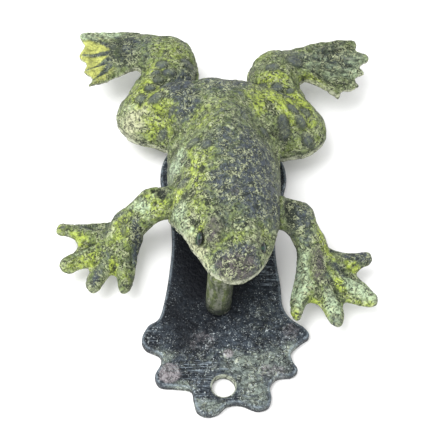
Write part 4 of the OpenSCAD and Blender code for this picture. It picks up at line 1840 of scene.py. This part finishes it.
@dataclass
class TurnedParts:
    """The round and worked parts: striker peg, hinge pin, hinge lug and the eye beads.

    Args:
        around: Points round each rod.
        peg_sunk: How far the peg stops short of the frame's, inside the back.
        bead: Half sizes of an eye bead.
    """

    around: int = 64
    peg_sunk: float = 2.8
    bead: Point3 = (1.1, 2.4, 2.25)

    def peg(self, material: bpy.types.Material) -> bpy.types.Object:
        """Striker peg: a rod with a domed end, darker towards its foot and with painted shade down its
        +X side, revolved about its own axis.

        Args:
            material: Its finish.

        Returns:
            The piece.
        """
        low, high = box_mm("striker_peg")
        r = (high - low)[0] / 2
        dome = np.linspace(-90, 0, 10)
        top = (high - low)[2] - self.peg_sunk
        radius = np.concatenate([r * np.cos(np.radians(dome)), np.full(40, r), [0.0]])
        height = np.concatenate([1.4 * (1 + np.sin(np.radians(dome))),
                                 np.linspace(1.8, top, 40), [top]])
        p, quads = turned_grid(radius, height, self.around)
        p += np.array([(low + high)[0] / 2, (low + high)[1] / 2, low[2]])
        p[:, :2] += 0.06 * value_noise(p, 2.5, 4.0)[:, None]
        across = (p[:, 0] - (low + high)[0] / 2) / r
        # painted shade down the +X side, away from the main light, with a faint darker stripe near the
        # middle
        stripe = 0.75 * smooth_step(0.3, 0.7, across) + 0.3 * np.exp(-((across + 0.05) / 0.25) ** 2)
        # darker towards the foot
        foot = 1 - smooth_step(low[2] + 3.6, low[2] + 7.4, p[:, 2])
        masks = {"tarnish_and_shade": np.maximum(foot, stripe)}
        piece = make_piece("striker_rod", p, quads, material, masks)
        hand_over(piece, Body.FROG, "striker_peg")
        return piece

    def pin(self, material: bpy.types.Material) -> bpy.types.Object:
        """Hinge pin: a rod along X whose ends are rounded where they were peened.

        Args:
            material: Its finish.

        Returns:
            The piece.
        """
        low, high = box_mm("hinge_pin")
        r, length = (high - low)[2] / 2, (high - low)[0]
        cap = np.linspace(-90, 0, 8)
        end = 0.6 * (1 + np.sin(np.radians(cap)))
        radius = np.concatenate([r * np.cos(np.radians(cap)), np.full(24, r),
                                 r * np.cos(np.radians(cap[::-1]))])
        height = np.concatenate([end, np.linspace(0.8, length - 0.8, 24), length - end[::-1]])
        p, quads = turned_grid(radius, height, self.around)
        p = np.stack([p[:, 2] + low[0], p[:, 0] + (low + high)[1] / 2,
                      p[:, 1] + (low + high)[2] / 2], axis=1)
        piece = make_piece("pin_rod", p, quads, material)
        hand_over(piece, Body.PLATE, "hinge_pin")
        return piece

    def lug(self, material: bpy.types.Material) -> bpy.types.Object:
        """Hinge lug: a block rounded about the pin, with its bore and softened edges.

        Args:
            material: Its finish.

        Returns:
            The piece.
        """
        low, high = box_mm("hinge_lug")
        pin_low, pin_high = box_mm("hinge_pin")
        pin_y, pin_z = (pin_low + pin_high)[1:] / 2
        half = (high - low)[:2] / 2
        lat = Lattice3(tuple(low - 1.2), tuple(high + 1.2), 0.35)
        x, y = lat.x[..., None], lat.y[..., None]
        round_end = np.hypot(y - pin_y, lat.z - pin_z) - half[1]
        block = np.maximum(np.abs(y - pin_y) - half[1], np.maximum(pin_z - lat.z, lat.z - high[2]))
        solid = smooth_max(np.minimum(round_end, block), np.abs(x) - half[0] + 0 * lat.z, 0.8)
        bore = (pin_high - pin_low)[2] / 2 + 0.08 - np.hypot(y - pin_y, lat.z - pin_z) + 0 * x
        p, quads = lat.skin(smooth_max(solid, bore, 0.3))
        piece = make_piece("lug_block", p, quads, material)
        hand_over(piece, Body.FROG, "hinge_lug")
        return piece

    def eye(self, side: str, shift: Point3, turn: float,
            material: bpy.types.Material) -> bpy.types.Object:
        """Eye bead: an egg-shaped bead standing on edge, sunk in its lids.

        Args:
            side: left or right.
            shift: Its middle, from the middle of the frame's own bead.
            turn: Lean of its upper edge inwards, in degrees.
            material: Its finish.

        Returns:
            The bead.
        """
        low, high = box_mm("eye_" + side)
        polar = np.linspace(-90, 90, 25)
        p, quads = turned_grid(np.cos(np.radians(polar)), np.sin(np.radians(polar)), 40)
        p = p * np.array(self.bead)
        lean = np.array(Matrix.Rotation(math.radians(turn), 3, "Y"))
        p = p @ lean.T + (low + high) / 2 + np.array(shift)
        piece = make_piece("bead_" + side, p, quads, material)
        hand_over(piece, Body.FROG, "eye_" + side)
        return piece


# ---------------------------------------------------------------- the studio


@dataclass(frozen=True)
class Studio:
    """A pale floor, soft lights and the camera.

    Args:
        aim: Point the camera looks at, in millimetres.
        distance: From the camera to that point.
        around: Turn of the camera about Z from straight ahead, in degrees.
        above: Its height over the floor, in degrees.
        roll: Its roll, in degrees.
        lens: Focal length on a sensor 36 mm wide.
    """

    aim: Point3 = (-1.9, 14.7, 18.0)
    distance: float = 450.0
    around: float = -4.0
    above: float = 57.0
    roll: float = 4.86
    lens: float = 112.3

    def camera(self) -> None:
        """Places the camera by its bearing, height and roll."""
        a, e, r = (math.radians(v) for v in (self.around, self.above, self.roll))
        back = np.array([math.sin(a) * math.cos(e), -math.cos(a) * math.cos(e), math.sin(e)])
        side = np.array([math.cos(a), math.sin(a), 0.0])
        up = np.cross(back, side)
        right, top = side * math.cos(r) + up * math.sin(r), up * math.cos(r) - side * math.sin(r)
        place = (np.array(self.aim) + self.distance * back) * MM
        data = bpy.data.cameras.new("camera")
        data.lens, data.sensor_width = self.lens, 36.0
        data.clip_start = 0.01
        made = bpy.data.objects.new("camera", data)
        matrix = np.eye(4)
        matrix[:3, 0], matrix[:3, 1], matrix[:3, 2], matrix[:3, 3] = right, top, back, place
        made.matrix_world = Matrix(matrix.tolist())
        bpy.context.collection.objects.link(made)
        bpy.context.scene.camera = made

    def floor(self) -> None:
        """A wide pale floor under the plate."""
        mesh = bpy.data.meshes.new("floor")
        reach, below = 3.0, -0.0002
        mesh.from_pydata([(-reach, -reach, below), (reach, -reach, below),
                          (reach, reach, below), (-reach, reach, below)], [], [(0, 1, 2, 3)])
        made = bpy.data.objects.new("floor", mesh)
        bpy.context.collection.objects.link(made)
        material = bpy.data.materials.new("floor_paper")
        material.use_nodes = True
        w = Wiring(material.node_tree)
        shader = material.node_tree.nodes["Principled BSDF"]
        where = w.node("ShaderNodeTexCoord").outputs["Object"]
        tone = w.noise(where, 40.0, 2.0)
        w.put(shader.inputs["Base Color"], w.blend(tone, paint("fbfbfb"), paint("ffffff")))
        w.put(shader.inputs["Roughness"], 0.9)
        mesh.materials.append(material)

    def lamp(self, name: str, place: Point3, size: float, power: float) -> None:
        """A square soft light aimed at the knocker.

        Args:
            name: The lamp's name.
            place: Where it stands, in metres.
            size: Side of its square, in metres.
            power: Watts.
        """
        data = bpy.data.lights.new(name, "AREA")
        data.shape, data.size, data.energy = "SQUARE", size, power
        made = bpy.data.objects.new(name, data)
        toward = np.array(self.aim) * MM - np.array(place)
        z = -toward / np.linalg.norm(toward)
        x = np.cross((0.0, 1.0, 0.0), z)
        x /= np.linalg.norm(x)
        matrix = np.eye(4)
        matrix[:3, 0], matrix[:3, 1], matrix[:3, 2], matrix[:3, 3] = x, np.cross(z, x), z, place
        made.matrix_world = Matrix(matrix.tolist())
        bpy.context.collection.objects.link(made)

    def light(self) -> None:
        """A bright even surround, a main light from the upper left and a weak fill."""
        world = bpy.data.worlds.new("surround")
        world.use_nodes = True
        background = world.node_tree.nodes["Background"]
        background.inputs["Color"].default_value = (1.0, 1.0, 1.0, 1.0)
        background.inputs["Strength"].default_value = 0.98
        bpy.context.scene.world = world
        self.lamp("main_light", (-0.4, -0.05, 0.85), 0.6, 7.5)
        self.lamp("fill_light", (-0.2, -0.75, 0.4), 0.8, 3.5)
        bpy.context.scene.view_settings.view_transform = "Standard"


def main() -> None:
    """Builds every piece in order, then the studio."""
    logging.basicConfig(level=logging.INFO, format="%(name)s: %(message)s")
    Studio().camera()
    effects = SharedEffects()
    green = Verdigris().material("frog_verdigris", effects)
    FrogBody().build(green)
    LEFT_ARM.build(green)
    RIGHT_ARM.build(green)
    Backplate().build(PlateSlate().material("plate_slate", effects))
    turned = TurnedParts()
    turned.peg(TurnedMetal("626c44", "43493c", "84867a", 0.15, 0.5).material("peg_olive", effects))
    turned.pin(TurnedMetal("a8843f", "5c4a2a", "c2a45e", 0.9, 0.3).material("pin_brass", effects))
    turned.lug(TurnedMetal("6a5a38", "3c3626", "7c7a52", 0.6, 0.5).material("lug_bronze", effects))
    bead = PolishedBead().material("eye_polish", effects)
    turned.eye("left", (0.3, 0.5, -0.1), 22.0, bead)
    turned.eye("right", (0.5, 0.4, -1.5), -26.0, bead)
    Studio().floor()
    Studio().light()


if __name__ == "__main__":
    main()
